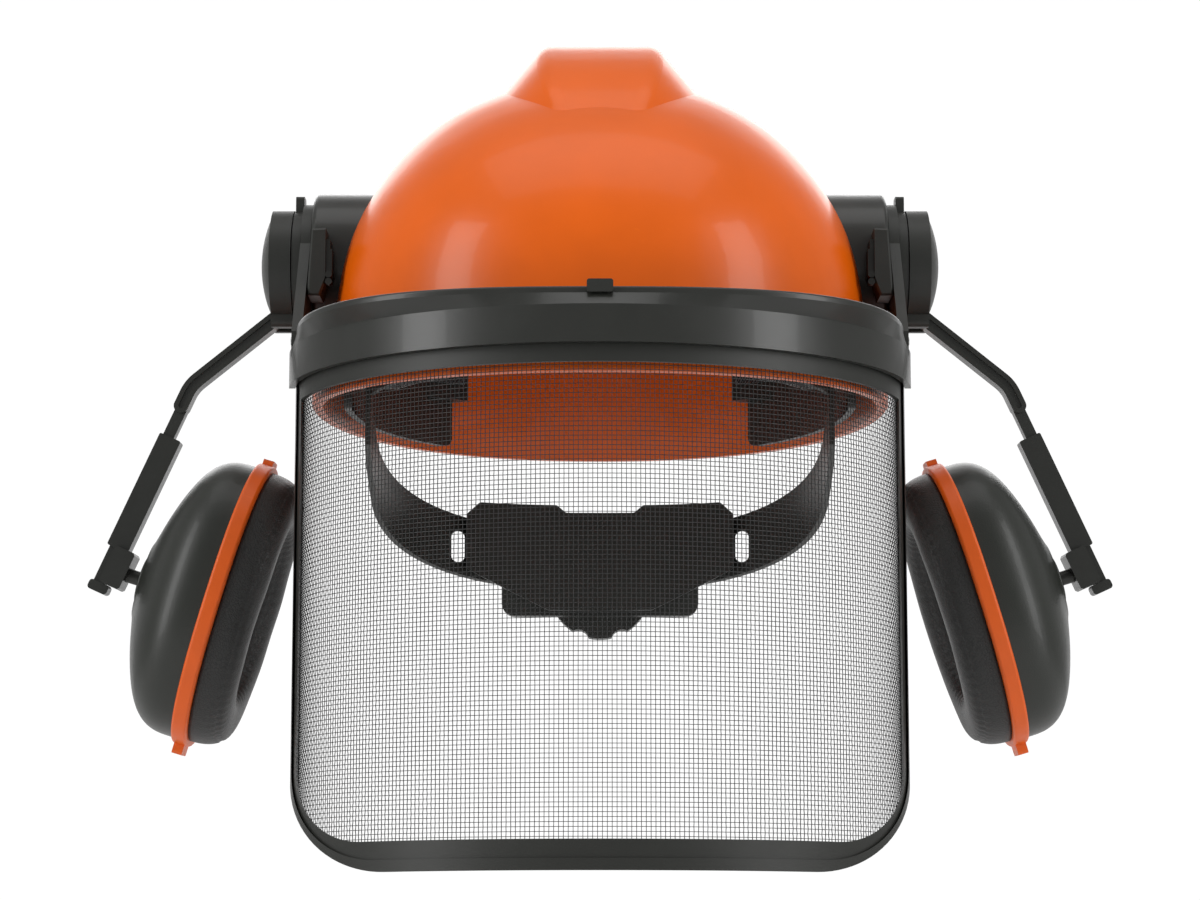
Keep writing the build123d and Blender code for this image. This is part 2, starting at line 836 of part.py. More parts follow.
def cup_form(wall):
    """The bowl of the cup, or with a wall its hollow."""
    with BuildPart() as bowl:
        for share, inset in cup_profile:
            with BuildSketch(cup_plane.offset(ring_half + share * (cup_depth - wall))):
                half_width = cup_half_width - wall - 0.78 * inset
                half_height = cup_half_height - wall - inset
                add(oval(half_width, half_height, half_height, 0, cup_power))
        loft()
    return bowl.part


cup_top = ring_half + cup_depth
pin_foot = cup_top - cup_wall + 0.9
with BuildPart() as muff_cup:
    add(cup_form(0))
    with BuildSketch(cup_plane.offset(cup_top - 5)):
        Circle(cup_boss_radius)
    extrude(amount=6)
    fillet(muff_cup.faces().filter_by(GeomType.PLANE).sort_by(Axis.X)[-1].edges(), 0.8)
    add(cup_form(cup_wall), mode=Mode.SUBTRACT)
    with BuildSketch(cup_plane.offset(pin_foot)):
        Circle(cup_pin_radius)
    extrude(amount=10, mode=Mode.SUBTRACT)
save_pair("muff_cup", muff_cup.part)

with BuildPart() as cup_pin:
    with BuildSketch(cup_plane.offset(pin_foot)):
        Circle(cup_pin_radius)
    extrude(amount=cup_pin_reach - pin_foot)
save_pair("cup_pin", cup_pin.part)

seat_inset = 9.0
with BuildPart() as muff_ring:
    with BuildSketch(cup_plane.offset(-ring_half)):
        add(oval(ring_half_width, ring_half_height, ring_half_height, 0, cup_power))
    extrude(amount=ring_thickness)
    fillet(muff_ring.edges(), ring_edge)
    with BuildSketch(cup_plane.offset(-ring_tab_thickness / 2)):
        with Locations((0, -ring_half_height), (0, ring_half_height - ring_tab / 2)):
            RectangleRounded(14.0, 2 * ring_tab, 1.5)
    extrude(amount=ring_tab_thickness)
    with BuildSketch(cup_plane.offset(-ring_half)):
        hole = ring_half_height - seat_inset
        add(oval(ring_half_width - seat_inset, hole, hole, 0, cup_power))
    extrude(amount=ring_thickness, mode=Mode.SUBTRACT)
save_pair("muff_ring", muff_ring.part)

with BuildPart() as baffle:
    with BuildSketch(cup_plane.offset(-baffle_thickness / 2)):
        hole = ring_half_height - seat_inset
        add(oval(ring_half_width - seat_inset, hole, hole, 0, cup_power))
        inner = cushion_hole_half_height
        add(oval(cushion_hole_half_width, inner, inner, 0, cup_power), mode=Mode.SUBTRACT)
    extrude(amount=baffle_thickness)
save_pair("baffle_plate", baffle.part)

with BuildPart() as foam:
    with BuildSketch(cup_plane.offset(baffle_thickness / 2)):
        half = ring_half_height - seat_inset - 3
        add(oval(ring_half_width - seat_inset - 2, half, half, 0, cup_power))
    extrude(amount=foam_thickness)
save_pair("sound_foam", foam.part)

with BuildPart() as ear_cushion:
    with BuildSketch(cup_plane.offset(-ring_half)):
        add(oval(cup_half_width - 0.5, cup_half_height - 0.5, cup_half_height - 0.5, 0, cup_power))
        inner = cushion_hole_half_height
        add(oval(cushion_hole_half_width, inner, inner, 0, cup_power), mode=Mode.SUBTRACT)
    extrude(amount=-cushion_thickness)
    fillet(ear_cushion.faces().filter_by(GeomType.PLANE).sort_by(Axis.X)[0].edges(), cushion_edge)
save_pair("ear_cushion", ear_cushion.part)

# ==== headband, brackets and straps ====


def oval_band(front_reach, outer, inner, low, high, front_cut, back_cut):
    """A standing band along the head's oval between two stations of Y, both sides at once."""
    with BuildPart() as band:
        with BuildSketch(Plane.XY.offset(low)):
            for grow, mode in ((outer, Mode.ADD), (inner, Mode.SUBTRACT)):
                half_x = band_half_width + grow
                front = front_reach + grow
                add(oval(half_x, front, band_back + grow, band_centre_y, band_power, 40), mode=mode)
        extrude(amount=high - low)
        with BuildSketch(Plane.XY.offset(low)):
            with Locations((0, (front_cut + back_cut) / 2)):
                Rectangle(4 * band_half_width, back_cut - front_cut)
        extrude(amount=high - low, mode=Mode.INTERSECT)
    return band.part


band_end_y = strap_start_y - 2.0
headband = oval_band(
    band_front, band_thickness, 0, band_bottom, band_bottom + band_height, -2 * band_front, band_end_y
)
save("headband", headband)
sweatband = oval_band(
    band_front,
    0,
    -sweat_thickness,
    band_bottom - 1.5,
    band_bottom + band_height + 1.5,
    -2 * band_front,
    band_end_y - 22.0,
)
save("sweatband", sweatband)


def strap_slab(margin, front_y, back_y):
    """The slanted slice that holds the rear straps, seen from the side."""
    half = strap_height / 2 + margin
    with BuildPart() as slab:
        with BuildSketch(Plane.YZ.offset(-2 * band_half_width)):
            with BuildLine():
                Polyline(
                    (front_y, strap_start_z + strap_slope * (front_y - strap_start_y) + half),
                    (back_y, strap_start_z + strap_slope * (back_y - strap_start_y) + half),
                    (back_y, strap_start_z + strap_slope * (back_y - strap_start_y) - half),
                    (front_y, strap_start_z + strap_slope * (front_y - strap_start_y) - half),
                    close=True,
                )
            make_face()
        extrude(amount=4 * band_half_width)
    return slab.part


strap_face = -0.5
strap_back_face = strap_face - strap_thickness
with BuildPart() as rear_strap:
    add(
        oval_band(
            strap_front,
            strap_face,
            strap_back_face,
            nape_bottom - 20,
            strap_start_z + strap_height,
            strap_start_y,
            band_centre_y + band_back,
        )
    )
    add(strap_slab(0, strap_start_y, band_centre_y + band_back), mode=Mode.INTERSECT)
    with BuildSketch(Plane.XZ.offset(-band_centre_y - band_back)):
        with Locations((band_half_width + strap_end_x, 0)):
            Rectangle(2 * band_half_width, 4 * band_half_width)
    extrude(amount=2 * band_centre_y + 3 * band_back, mode=Mode.INTERSECT)
    with BuildSketch(Plane.XZ.offset(-band_centre_y - band_back)):
        with Locations((strap_eye_x, strap_eye_z)):
            SlotOverall(strap_eye_height, strap_eye_width, rotation=90)
    extrude(amount=band_back, mode=Mode.SUBTRACT)
save_pair("rear_strap", rear_strap.part)

bracket_scale = dome_scale(bracket_top, shell_wall)
bracket_gap = 1.5
bracket_back_y = 100.0
with BuildPart() as side_bracket:
    with BuildSketch(Plane.XY.offset(bracket_bottom)):
        add(shell_oval(bracket_scale, -bracket_gap))
        add(shell_oval(bracket_scale, -bracket_gap - bracket_thickness), mode=Mode.SUBTRACT)
    extrude(amount=bracket_top - bracket_bottom)
    with BuildSketch(Plane.YZ):
        with Locations(((strap_start_y + bracket_back_y) / 2, (bracket_bottom + bracket_top) / 2)):
            RectangleRounded(bracket_back_y - strap_start_y, bracket_top - bracket_bottom, 4.0)
    extrude(amount=2 * rim_half_width, mode=Mode.INTERSECT)
    add(strap_slab(1.2, band_centre_y, bracket_back_y), mode=Mode.SUBTRACT)
save_group("side_brackets", side_bracket.part)

hook_width = 10.0
with BuildPart() as band_hook:
    with BuildSketch(Plane.XY.offset(band_bottom + 3)):
        with Locations((band_half_width, band_end_y)):
            Rectangle(26.0, hook_width)
    extrude(amount=band_height - 6)
    add(dome_core.part, mode=Mode.INTERSECT)
    add(headband, mode=Mode.SUBTRACT)
    add(side_bracket.part, mode=Mode.SUBTRACT)
    add(rear_strap.part, mode=Mode.SUBTRACT)
save_group("band_hooks", band_hook.part, shell.part + headband)

# ==== crown cradle ====


def wall_reach(turn, z):
    """Distance from the origin's axis to the shell's inner wall, turned from -Y towards +X."""
    scale = dome_scale(z, shell_wall)
    low, high = 0.0, 2 * rim_back
    for _ in range(40):
        middle = (low + high) / 2
        x = middle * sin(turn)
        y = -middle * cos(turn) - rim_widest_y * scale
        reach = (rim_back - rim_widest_y if y > 0 else rim_front + rim_widest_y) * scale
        inside = (abs(x) / (rim_half_width * scale)) ** rim_power + (abs(y) / reach) ** rim_power < 1
        low, high = (middle, high) if inside else (low, middle)
    return low


key_top = crown_spring_z + key_height / 2
key_inner = 9.0
with BuildPart() as cradle_keys:
    for turn in (crown_angle, 180 - crown_angle, 180 + crown_angle, 360 - crown_angle):
        reach = wall_reach(radians(turn), crown_spring_z)
        with BuildSketch(Plane.XY.offset(key_top - key_height)):
            with Locations(Location((reach * sin(radians(turn)), -reach * cos(radians(turn))), turn - 90)):
                Rectangle(2 * key_inner, key_width)
        extrude(amount=key_height)
    add(dome_core.part, mode=Mode.INTERSECT)
    for side in (-1, 1):
        add(side_bracket.part if side > 0 else side_bracket.part.mirror(Plane.YZ), mode=Mode.SUBTRACT)
    add(headband, mode=Mode.SUBTRACT)
save("cradle_keys", cradle_keys.part)


def crown_strap(turn, height):
    """One webbing strap over the crown, in a standing plane turned from -Y towards +X."""
    ahead = wall_reach(radians(turn), crown_spring_z) - key_inner
    behind = wall_reach(radians(turn + 180), crown_spring_z) - key_inner
    rise = height - crown_spring_z + 4
    run = (sin(radians(turn)), -cos(radians(turn)))
    place = Plane(origin=(0, 0, crown_spring_z - 4), x_dir=(run[0], run[1], 0), z_dir=(run[1], -run[0], 0))
    thin = crown_strap_thickness
    with BuildPart() as strap:
        with BuildSketch(place):
            with BuildLine():
                EllipticalCenterArc((0, 0), ahead, rise, 0, arc_size=90)
                EllipticalCenterArc((0, 0), behind, rise, 90, arc_size=90)
                Line((-behind, 0), (thin - behind, 0))
                EllipticalCenterArc((0, 0), behind - thin, rise - thin, 90, arc_size=90)
                EllipticalCenterArc((0, 0), ahead - thin, rise - thin, 0, arc_size=90)
                Line((ahead - thin, 0), (ahead, 0))
            make_face()
        extrude(amount=crown_strap_width / 2, both=True)
    return strap.part


save("crown_strap_a", crown_strap(crown_angle, crown_height))
save("crown_strap_b", crown_strap(-crown_angle, crown_height - crown_strap_thickness - crown_strap_gap))

with BuildPart() as crown_pad:
    with BuildSketch(Plane.XY.offset(crown_height - 13.0)):
        Circle(crown_pad_radius)
    extrude(amount=crown_pad_thickness)
    fillet(crown_pad.edges(), crown_pad_thickness * 0.4)
save("crown_pad", crown_pad.part)

# ==== nape pad and ratchet ====
pad_face = strap_back_face - 0.3
with BuildPart() as nape_pad:
    add(
        oval_band(
            band_front,
            pad_face,
            pad_face - nape_pad_thickness,
            nape_bottom,
            nape_top,
            band_centre_y,
            band_centre_y + band_back,
        )
    )
    with BuildSketch(Plane.XZ.offset(-band_centre_y - band_back)) as pad_outline:
        with BuildLine():
            Polyline(
                (-nape_half_width, nape_top - 6),
                (-nape_half_width + 6, nape_top),
                (-20, nape_top),
                (-16, nape_top - 3.5),
                (16, nape_top - 3.5),
                (20, nape_top),
                (nape_half_width - 6, nape_top),
                (nape_half_width, nape_top - 6),
                (nape_half_width, nape_bottom + 18),
                (24, nape_bottom),
                (-24, nape_bottom),
                (-nape_half_width, nape_bottom + 18),
                close=True,
            )
        make_face()
        fillet(pad_outline.vertices(), 2.4)
    extrude(amount=band_back, mode=Mode.INTERSECT)
save("nape_pad", nape_pad.part)

housing_front = band_centre_y + band_back + 1.0
housing_back = housing_front + housing_depth
cover_face = housing_back - housing_wall
with BuildPart() as ratchet_housing:
    with BuildSketch(Plane.XZ.offset(-cover_face)):
        with Locations((0, knob_z)):
            RectangleRounded(2 * housing_half_width, 2 * housing_half_height, housing_corner)
    extrude(amount=housing_depth - housing_wall)
    with BuildSketch(Plane.XZ.offset(-housing_front)):
        with Locations((0, knob_z + 1)):
            RectangleRounded(neck_width, neck_height, 3.0)
    extrude(amount=neck_reach)
    add(
        oval_band(
            band_front,
            pad_face,
            -60,
            nape_bottom - 20,
            nape_top + 20,
            band_centre_y,
            band_centre_y + band_back,
        ),
        mode=Mode.SUBTRACT,
    )
    with BuildSketch(Plane.XZ.offset(-cover_face)):
        with Locations((0, knob_z)):
            RectangleRounded(
                2 * (housing_half_width - housing_wall),
                2 * (housing_half_height - housing_wall),
                housing_corner - housing_wall,
            )
    extrude(amount=housing_depth - 2 * housing_wall, mode=Mode.SUBTRACT)
save("ratchet_housing", ratchet_housing.part)

with BuildPart() as housing_cover:
    with BuildSketch(Plane.XZ.offset(-housing_back)):
        with Locations((0, knob_z)):
            RectangleRounded(2 * housing_half_width, 2 * housing_half_height, housing_corner)
            Circle(shaft_radius + running_gap, mode=Mode.SUBTRACT)
    extrude(amount=housing_wall)
save("housing_cover", housing_cover.part)

rack_face = housing_front + housing_wall + rack_seat
pitch = 2 * pi * pinion_pitch_radius / pinion_teeth
tooth_top = 0.26 * pitch
tooth_foot = 0.58 * pitch
addendum = tooth_height * 0.38
dedendum = tooth_height * 0.62
with BuildPart() as pinion:
    with BuildSketch(Plane.XZ.offset(-rack_face - rack_thickness)):
        with Locations((0, knob_z)):
            Circle(pinion_pitch_radius - dedendum)
        for tooth in range(pinion_teeth):
            turn = 360 * (tooth + 0.5) / pinion_teeth
            with BuildLine():
                Polyline(
                    *[
                        (
                            radius * sin(radians(turn)) + across * cos(radians(turn)),
                            knob_z + radius * cos(radians(turn)) - across * sin(radians(turn)),
                        )
                        for radius, across in (
                            (pinion_pitch_radius - dedendum - 0.5, -tooth_foot / 2),
                            (pinion_pitch_radius, -0.23 * pitch),
                            (pinion_pitch_radius + addendum, -tooth_top / 2),
                            (pinion_pitch_radius + addendum, tooth_top / 2),
                            (pinion_pitch_radius, 0.23 * pitch),
                            (pinion_pitch_radius - dedendum - 0.5, tooth_foot / 2),
                        )
                    ],
                    close=True,
                )
            make_face()
        with Locations((0, knob_z)):
            Circle(shaft_radius, mode=Mode.SUBTRACT)
    extrude(amount=rack_thickness)
save("pinion", pinion.part)

knob_face = housing_back + knob_gap
with BuildPart() as knob_shaft:
    with BuildSketch(Plane.XZ.offset(-rack_face + 1.2)):
        with Locations((0, knob_z)):
            Circle(shaft_radius)
    extrude(amount=-(knob_face + knob_web - rack_face + 1.2))
    with BuildSketch(Plane.XZ.offset(-knob_face - knob_web)):
        with Locations((0, knob_z)):
            Circle(shaft_head_radius)
    extrude(amount=-shaft_head_height)
    fillet(knob_shaft.edges().sort_by(Axis.Y)[-1], 0.8)
save("knob_shaft", knob_shaft.part)

with BuildPart() as ratchet_knob:
    with BuildSketch(Plane.XZ.offset(-knob_face)):
        with Locations((0, knob_z)):
            Circle(knob_radius)
        for lobe in range(knob_lobes):
            turn = radians(360 * (lobe + 0.5) / knob_lobes)
            cut_radius = knob_radius * 0.22
            away = knob_radius + cut_radius - lobe_depth
            with Locations((away * sin(turn), knob_z + away * cos(turn))):
                Circle(cut_radius, mode=Mode.SUBTRACT)
        with Locations((0, knob_z)):
            Circle(shaft_radius, mode=Mode.SUBTRACT)
    extrude(amount=-knob_depth)
    fillet(ratchet_knob.edges().group_by(Axis.Y)[-1], 1.0)
    with BuildSketch(Plane.XZ.offset(-knob_face - knob_web)):
        with Locations((0, knob_z)):
            Circle(knob_radius * knob_bore)
    extrude(amount=-knob_depth, mode=Mode.SUBTRACT)
save("ratchet_knob", ratchet_knob.part)


def rack(side):
    """A toothed rack of one rear strap: the left one runs over the pinion, the right one under it."""
    line = pinion_pitch_radius
    with BuildPart() as strip:
        with BuildSketch(Plane.XZ.offset(-rack_face - rack_thickness)):
            with Locations((side * rack_offset, knob_z + side * (line + dedendum + rack_height / 2))):
                Rectangle(rack_length, rack_height)
            for tooth in range(rack_teeth):
                x = (tooth - (rack_teeth - 1) / 2) * pitch
                with BuildLine():
                    Polyline(
                        (x - tooth_foot / 2, knob_z + side * (line + dedendum + 0.5)),
                        (x - 0.22 * pitch, knob_z + side * line),
                        (x - tooth_top / 2, knob_z + side * (line - addendum)),
                        (x + tooth_top / 2, knob_z + side * (line - addendum)),
                        (x + 0.22 * pitch, knob_z + side * line),
                        (x + tooth_foot / 2, knob_z + side * (line + dedendum + 0.5)),
                        close=True,
                    )
                make_face()
        extrude(amount=rack_thickness)
    return strip.part


save("left_rack", rack(1))
save("right_rack", rack(-1))
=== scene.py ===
import json
import logging
import math
from collections.abc import Callable, Sequence
from dataclasses import dataclass
from enum import Enum

import bpy
import numpy as np
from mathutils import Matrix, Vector, noise


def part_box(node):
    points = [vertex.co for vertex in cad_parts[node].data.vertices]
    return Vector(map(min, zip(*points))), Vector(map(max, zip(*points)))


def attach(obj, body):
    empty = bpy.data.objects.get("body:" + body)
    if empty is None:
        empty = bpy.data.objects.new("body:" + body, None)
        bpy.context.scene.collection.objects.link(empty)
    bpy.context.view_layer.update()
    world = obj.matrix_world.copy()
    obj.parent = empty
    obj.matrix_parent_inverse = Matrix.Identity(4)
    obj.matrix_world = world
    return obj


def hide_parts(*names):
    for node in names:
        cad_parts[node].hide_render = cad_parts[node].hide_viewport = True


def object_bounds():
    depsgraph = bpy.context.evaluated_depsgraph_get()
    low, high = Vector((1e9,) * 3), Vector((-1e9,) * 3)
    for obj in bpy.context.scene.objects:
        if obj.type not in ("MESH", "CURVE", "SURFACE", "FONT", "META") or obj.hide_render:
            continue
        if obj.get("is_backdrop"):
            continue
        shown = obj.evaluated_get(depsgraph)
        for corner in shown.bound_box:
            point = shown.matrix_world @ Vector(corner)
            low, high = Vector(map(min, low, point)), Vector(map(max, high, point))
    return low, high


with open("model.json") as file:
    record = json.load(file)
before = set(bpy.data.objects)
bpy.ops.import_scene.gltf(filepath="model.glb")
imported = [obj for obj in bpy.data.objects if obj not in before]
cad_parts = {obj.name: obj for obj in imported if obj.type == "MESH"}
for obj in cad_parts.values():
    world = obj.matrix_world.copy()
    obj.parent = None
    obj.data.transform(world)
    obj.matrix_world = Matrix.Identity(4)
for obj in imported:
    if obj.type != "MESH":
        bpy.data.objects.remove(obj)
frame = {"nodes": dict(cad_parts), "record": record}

# Looks of a forestry hard hat with a mesh visor and ear defenders, in metres.
# The front faces -Y, +Z is up, and left is the wearer's left, +X.

LOG = logging.getLogger("hard_hat")
MM = 0.001
Colour = tuple[float, float, float]


class Side(Enum):
    """The wearer's side that a piece belongs to, as the sign of X."""

    LEFT = 1
    RIGHT = -1

    @property
    def word(self) -> str:
        """The side's name in body and node names."""
        return self.name.lower()


class Coordinates(Enum):
    """Where a finish takes its pattern's place from."""

    SOLID = "Object"
    LENGTHWISE = "UV"


# ---- shader nodes ----


class Board:
    """Adds nodes to one tree and links them by socket name."""

    def __init__(self, tree: bpy.types.NodeTree) -> None:
        """Starts on a tree.

        Args:
            tree: The material's or group's node tree.
        """
        self.tree = tree
        self.column = 0

    def node(
        self, kind: str, values: dict[str, object] | None = None, **settings: object
    ) -> bpy.types.Node:
        """Adds one node.

        Args:
            kind: The node's type, without the ShaderNode prefix.
            values: Input sockets and their values, or the sockets that feed them.
            **settings: The node's own properties.

        Returns:
            The new node.
        """
        made = self.tree.nodes.new("ShaderNode" + kind)
        made.location = (self.column * 180, 0)
        self.column += 1
        for key, setting in settings.items():
            setattr(made, key, setting)
        for key, value in (values or {}).items():
            socket = made.inputs[key]
            if isinstance(value, bpy.types.NodeSocket):
                self.tree.links.new(value, socket)
            else:
                socket.default_value = value
        return made

    def math(self, operation: str, first: object, second: object = 0.0) -> bpy.types.NodeSocket:
        """Adds a Math node.

        Args:
            operation: The node's operation.
            first: First number or socket.
            second: Second number or socket.

        Returns:
            The result's socket.
        """
        made = self.node("Math", {0: first, 1: second}, operation=operation)
        return made.outputs[0]

    def ramp(self, value: object, low: float, high: float) -> bpy.types.NodeSocket:
        """Turns a range of a value into 0 to 1, with soft ends.

        Args:
            value: The socket to read.
            low: Where the result is 0.
            high: Where the result is 1.

        Returns:
            The result's socket.
        """
        values = {"Value": value, "From Min": low, "From Max": high}
        return self.node("MapRange", values, interpolation_type="SMOOTHSTEP").outputs[0]

    def mix(self, share: object, first: object, second: object) -> bpy.types.NodeSocket:
        """Mixes two colours.

        Args:
            share: 0 for the first colour and 1 for the second.
            first: First colour or socket.
            second: Second colour or socket.

        Returns:
            The mixed colour's socket.
        """
        made = self.node("Mix", data_type="RGBA")
        for index, value in ((0, share), (6, first), (7, second)):
            socket = made.inputs[index]
            if isinstance(value, bpy.types.NodeSocket):
                self.tree.links.new(value, socket)
            elif index == 0:
                socket.default_value = value
            else:
                socket.default_value = (*value, 1.0)
        return made.outputs[2]


def make_group(
    name: str,
    inputs: dict[str, float],
    outputs: Sequence[str],
    fill: Callable[[Board, bpy.types.Node], dict[str, bpy.types.NodeSocket]],
) -> bpy.types.NodeTree:
    """Builds a shader node group once.

    Args:
        name: The group's name.
        inputs: Number inputs and their usual values; a Vector input is always there.
        outputs: Names of the number outputs.
        fill: Adds the nodes and returns the socket for each output.

    Returns:
        The node group.
    """
    tree = bpy.data.node_groups.new(name, "ShaderNodeTree")
    tree.interface.new_socket("Vector", in_out="INPUT", socket_type="NodeSocketVector")
    for label, value in inputs.items():
        socket = tree.interface.new_socket(label, in_out="INPUT", socket_type="NodeSocketFloat")
        socket.default_value = value
    for label in outputs:
        tree.interface.new_socket(label, in_out="OUTPUT", socket_type="NodeSocketFloat")
    source = tree.nodes.new("NodeGroupInput")
    sink = tree.nodes.new("NodeGroupOutput")
    for label, socket in fill(Board(tree), source).items():
        tree.links.new(socket, sink.inputs[label])
    return tree


def fill_grain(board: Board, source: bpy.types.Node) -> dict[str, bpy.types.NodeSocket]:
    """Fine texture of a moulded or pressed skin: small cells over a soft mottle.

    Args:
        board: The group's board.
        source: The group's inputs.

    Returns:
        Height of the skin and a slow mottle.
    """
    where = source.outputs["Vector"]
    scale = source.outputs["Scale"]
    cells = board.node("TexVoronoi", {"Vector": where, "Scale": scale}, feature="SMOOTH_F1")
    fine = board.math("MULTIPLY", scale, 1.9)
    speck = board.node("TexNoise", {"Vector": where, "Scale": fine, "Detail": 2.0})
    broad = board.math("MULTIPLY", scale, 0.035)
    mottle = board.node("TexNoise", {"Vector": where, "Scale": broad, "Detail": 3.0})
    coarse = board.math("MULTIPLY", cells.outputs["Distance"], 0.7)
    height = board.math("ADD", coarse, speck.outputs["Fac"])
    return {"Height": height, "Mottle": mottle.outputs["Fac"]}


def fill_wear(board: Board, source: bpy.types.Node) -> dict[str, bpy.types.NodeSocket]:
    """Handling marks: hairline scratches in two directions and rubbed patches.

    Args:
        board: The group's board.
        source: The group's inputs.

    Returns:
        Masks of the scratches and of the rubbed patches.
    """
    where = source.outputs["Vector"]
    lines = []
    for turn, stretch in ((0.5, (90.0, 1500.0, 260.0)), (1.9, (1300.0, 70.0, 240.0))):
        values = {"Vector": where, "Rotation": (turn, turn * 0.7, turn), "Scale": stretch}
        place = board.node("Mapping", values)
        streak = board.node("TexNoise", {"Vector": place.outputs[0], "Scale": 1.0, "Detail": 1.0})
        lines.append(board.ramp(streak.outputs["Fac"], 0.7, 0.78))
    patch = board.node("TexNoise", {"Vector": where, "Scale": 24.0, "Detail": 5.0, "Roughness": 0.65})
    rubbed = board.ramp(patch.outputs["Fac"], 0.48, 0.72)
    both = board.math("MAXIMUM", lines[0], lines[1])
    amount = source.outputs["Amount"]
    scratches = board.math("MULTIPLY", board.math("MULTIPLY", both, rubbed), amount)
    return {"Scratches": scratches, "Rubbed": board.math("MULTIPLY", rubbed, amount)}


def fill_dust(board: Board, source: bpy.types.Node) -> dict[str, bpy.types.NodeSocket]:
    """Fine dust that settles on faces that look up.

    Args:
        board: The group's board.
        source: The group's inputs.

    Returns:
        The dust's mask.
    """
    facing = board.node("NewGeometry").outputs["Normal"]
    parts = board.node("SeparateXYZ", {0: facing})
    level = board.ramp(parts.outputs["Z"], 0.35, 1.0)
    cloud = board.node("TexNoise", {"Vector": source.outputs["Vector"], "Scale": 60.0, "Detail": 6.0})
    patchy = board.ramp(cloud.outputs["Fac"], 0.35, 0.75)
    settled = board.math("MULTIPLY", level, patchy)
    return {"Dust": board.math("MULTIPLY", settled, source.outputs["Amount"])}


def fill_weave(board: Board, source: bpy.types.Node) -> dict[str, bpy.types.NodeSocket]:
    """A plain weave of round threads that pass over and under each other.

    Args:
        board: The group's board.
        source: The group's inputs.

    Returns:
        The threads' height and which way each one runs.
    """
    parts = board.node("SeparateXYZ", {0: source.outputs["Vector"]})
    across = board.math("MULTIPLY", parts.outputs["X"], source.outputs["Across"])
    along = board.math("MULTIPLY", parts.outputs["Y"], source.outputs["Along"])
    waves = []
    for own, other, phase in ((across, along, 0.0), (along, across, 1.0)):
        round_thread = board.math("ABSOLUTE", board.math("SINE", board.math("MULTIPLY", own, math.pi)))
        step = board.math("ADD", board.math("FLOOR", own), phase)
        swing = board.math("COSINE", board.math("MULTIPLY", board.math("ADD", step, other), math.pi))
        over = board.math("ADD", board.math("MULTIPLY", swing, 0.5), 0.5)
        waves.append(board.math("MULTIPLY", round_thread, over))
    height = board.math("MAXIMUM", waves[0], waves[1])
    return {"Height": height, "Warp": board.math("GREATER_THAN", waves[0], waves[1])}


class Effects:
    """The node groups that several finishes share."""

    def __init__(self) -> None:
        """Builds each group once."""
        self.grain = make_group("skin_grain", {"Scale": 2000.0}, ("Height", "Mottle"), fill_grain)
        self.wear = make_group("handling_wear", {"Amount": 1.0}, ("Scratches", "Rubbed"), fill_wear)
        self.dust = make_group("settled_dust", {"Amount": 1.0}, ("Dust",), fill_dust)
        threads = {"Across": 1.0, "Along": 1.0}
        self.weave = make_group("plain_weave", threads, ("Height", "Warp"), fill_weave)


@dataclass(frozen=True)
class Finish:
    """What every finish has: a name, a colour and how it meets the light."""

    name: str
    colour: Colour
    roughness: float
    coordinates: Coordinates = Coordinates.SOLID

    def start(self) -> tuple[bpy.types.Material, Board, bpy.types.Node, bpy.types.NodeSocket]:
        """Makes the material with its Principled shader.

        Returns:
            The material, its board, the shader and the pattern's coordinates.
        """
        made = bpy.data.materials.new(self.name)
        made.use_nodes = True
        made.diffuse_color = (*self.colour, 1.0)
        shader = made.node_tree.nodes["Principled BSDF"]
        shader.inputs["Base Color"].default_value = (*self.colour, 1.0)
        shader.inputs["Roughness"].default_value = self.roughness
        board = Board(made.node_tree)
        where = board.node("TexCoord").outputs[self.coordinates.value]
        return made, board, shader, where

    def relief(self, board: Board, shader: bpy.types.Node, height: object, depth: float) -> None:
        """Feeds a height into the shader's normal.

        Args:
            board: The material's board.
            shader: The Principled shader.
            height: The height's socket.
            depth: Size of one unit of height, in metres.
        """
        bump = board.node("Bump", {"Height": height, "Distance": depth, "Strength": 1.0})
        board.tree.links.new(bump.outputs[0], shader.inputs["Normal"])

    def shade(self, share: float) -> Colour:
        """The finish's colour, darker or lighter by a share."""
        return tuple(min(1.0, channel * share) for channel in self.colour)


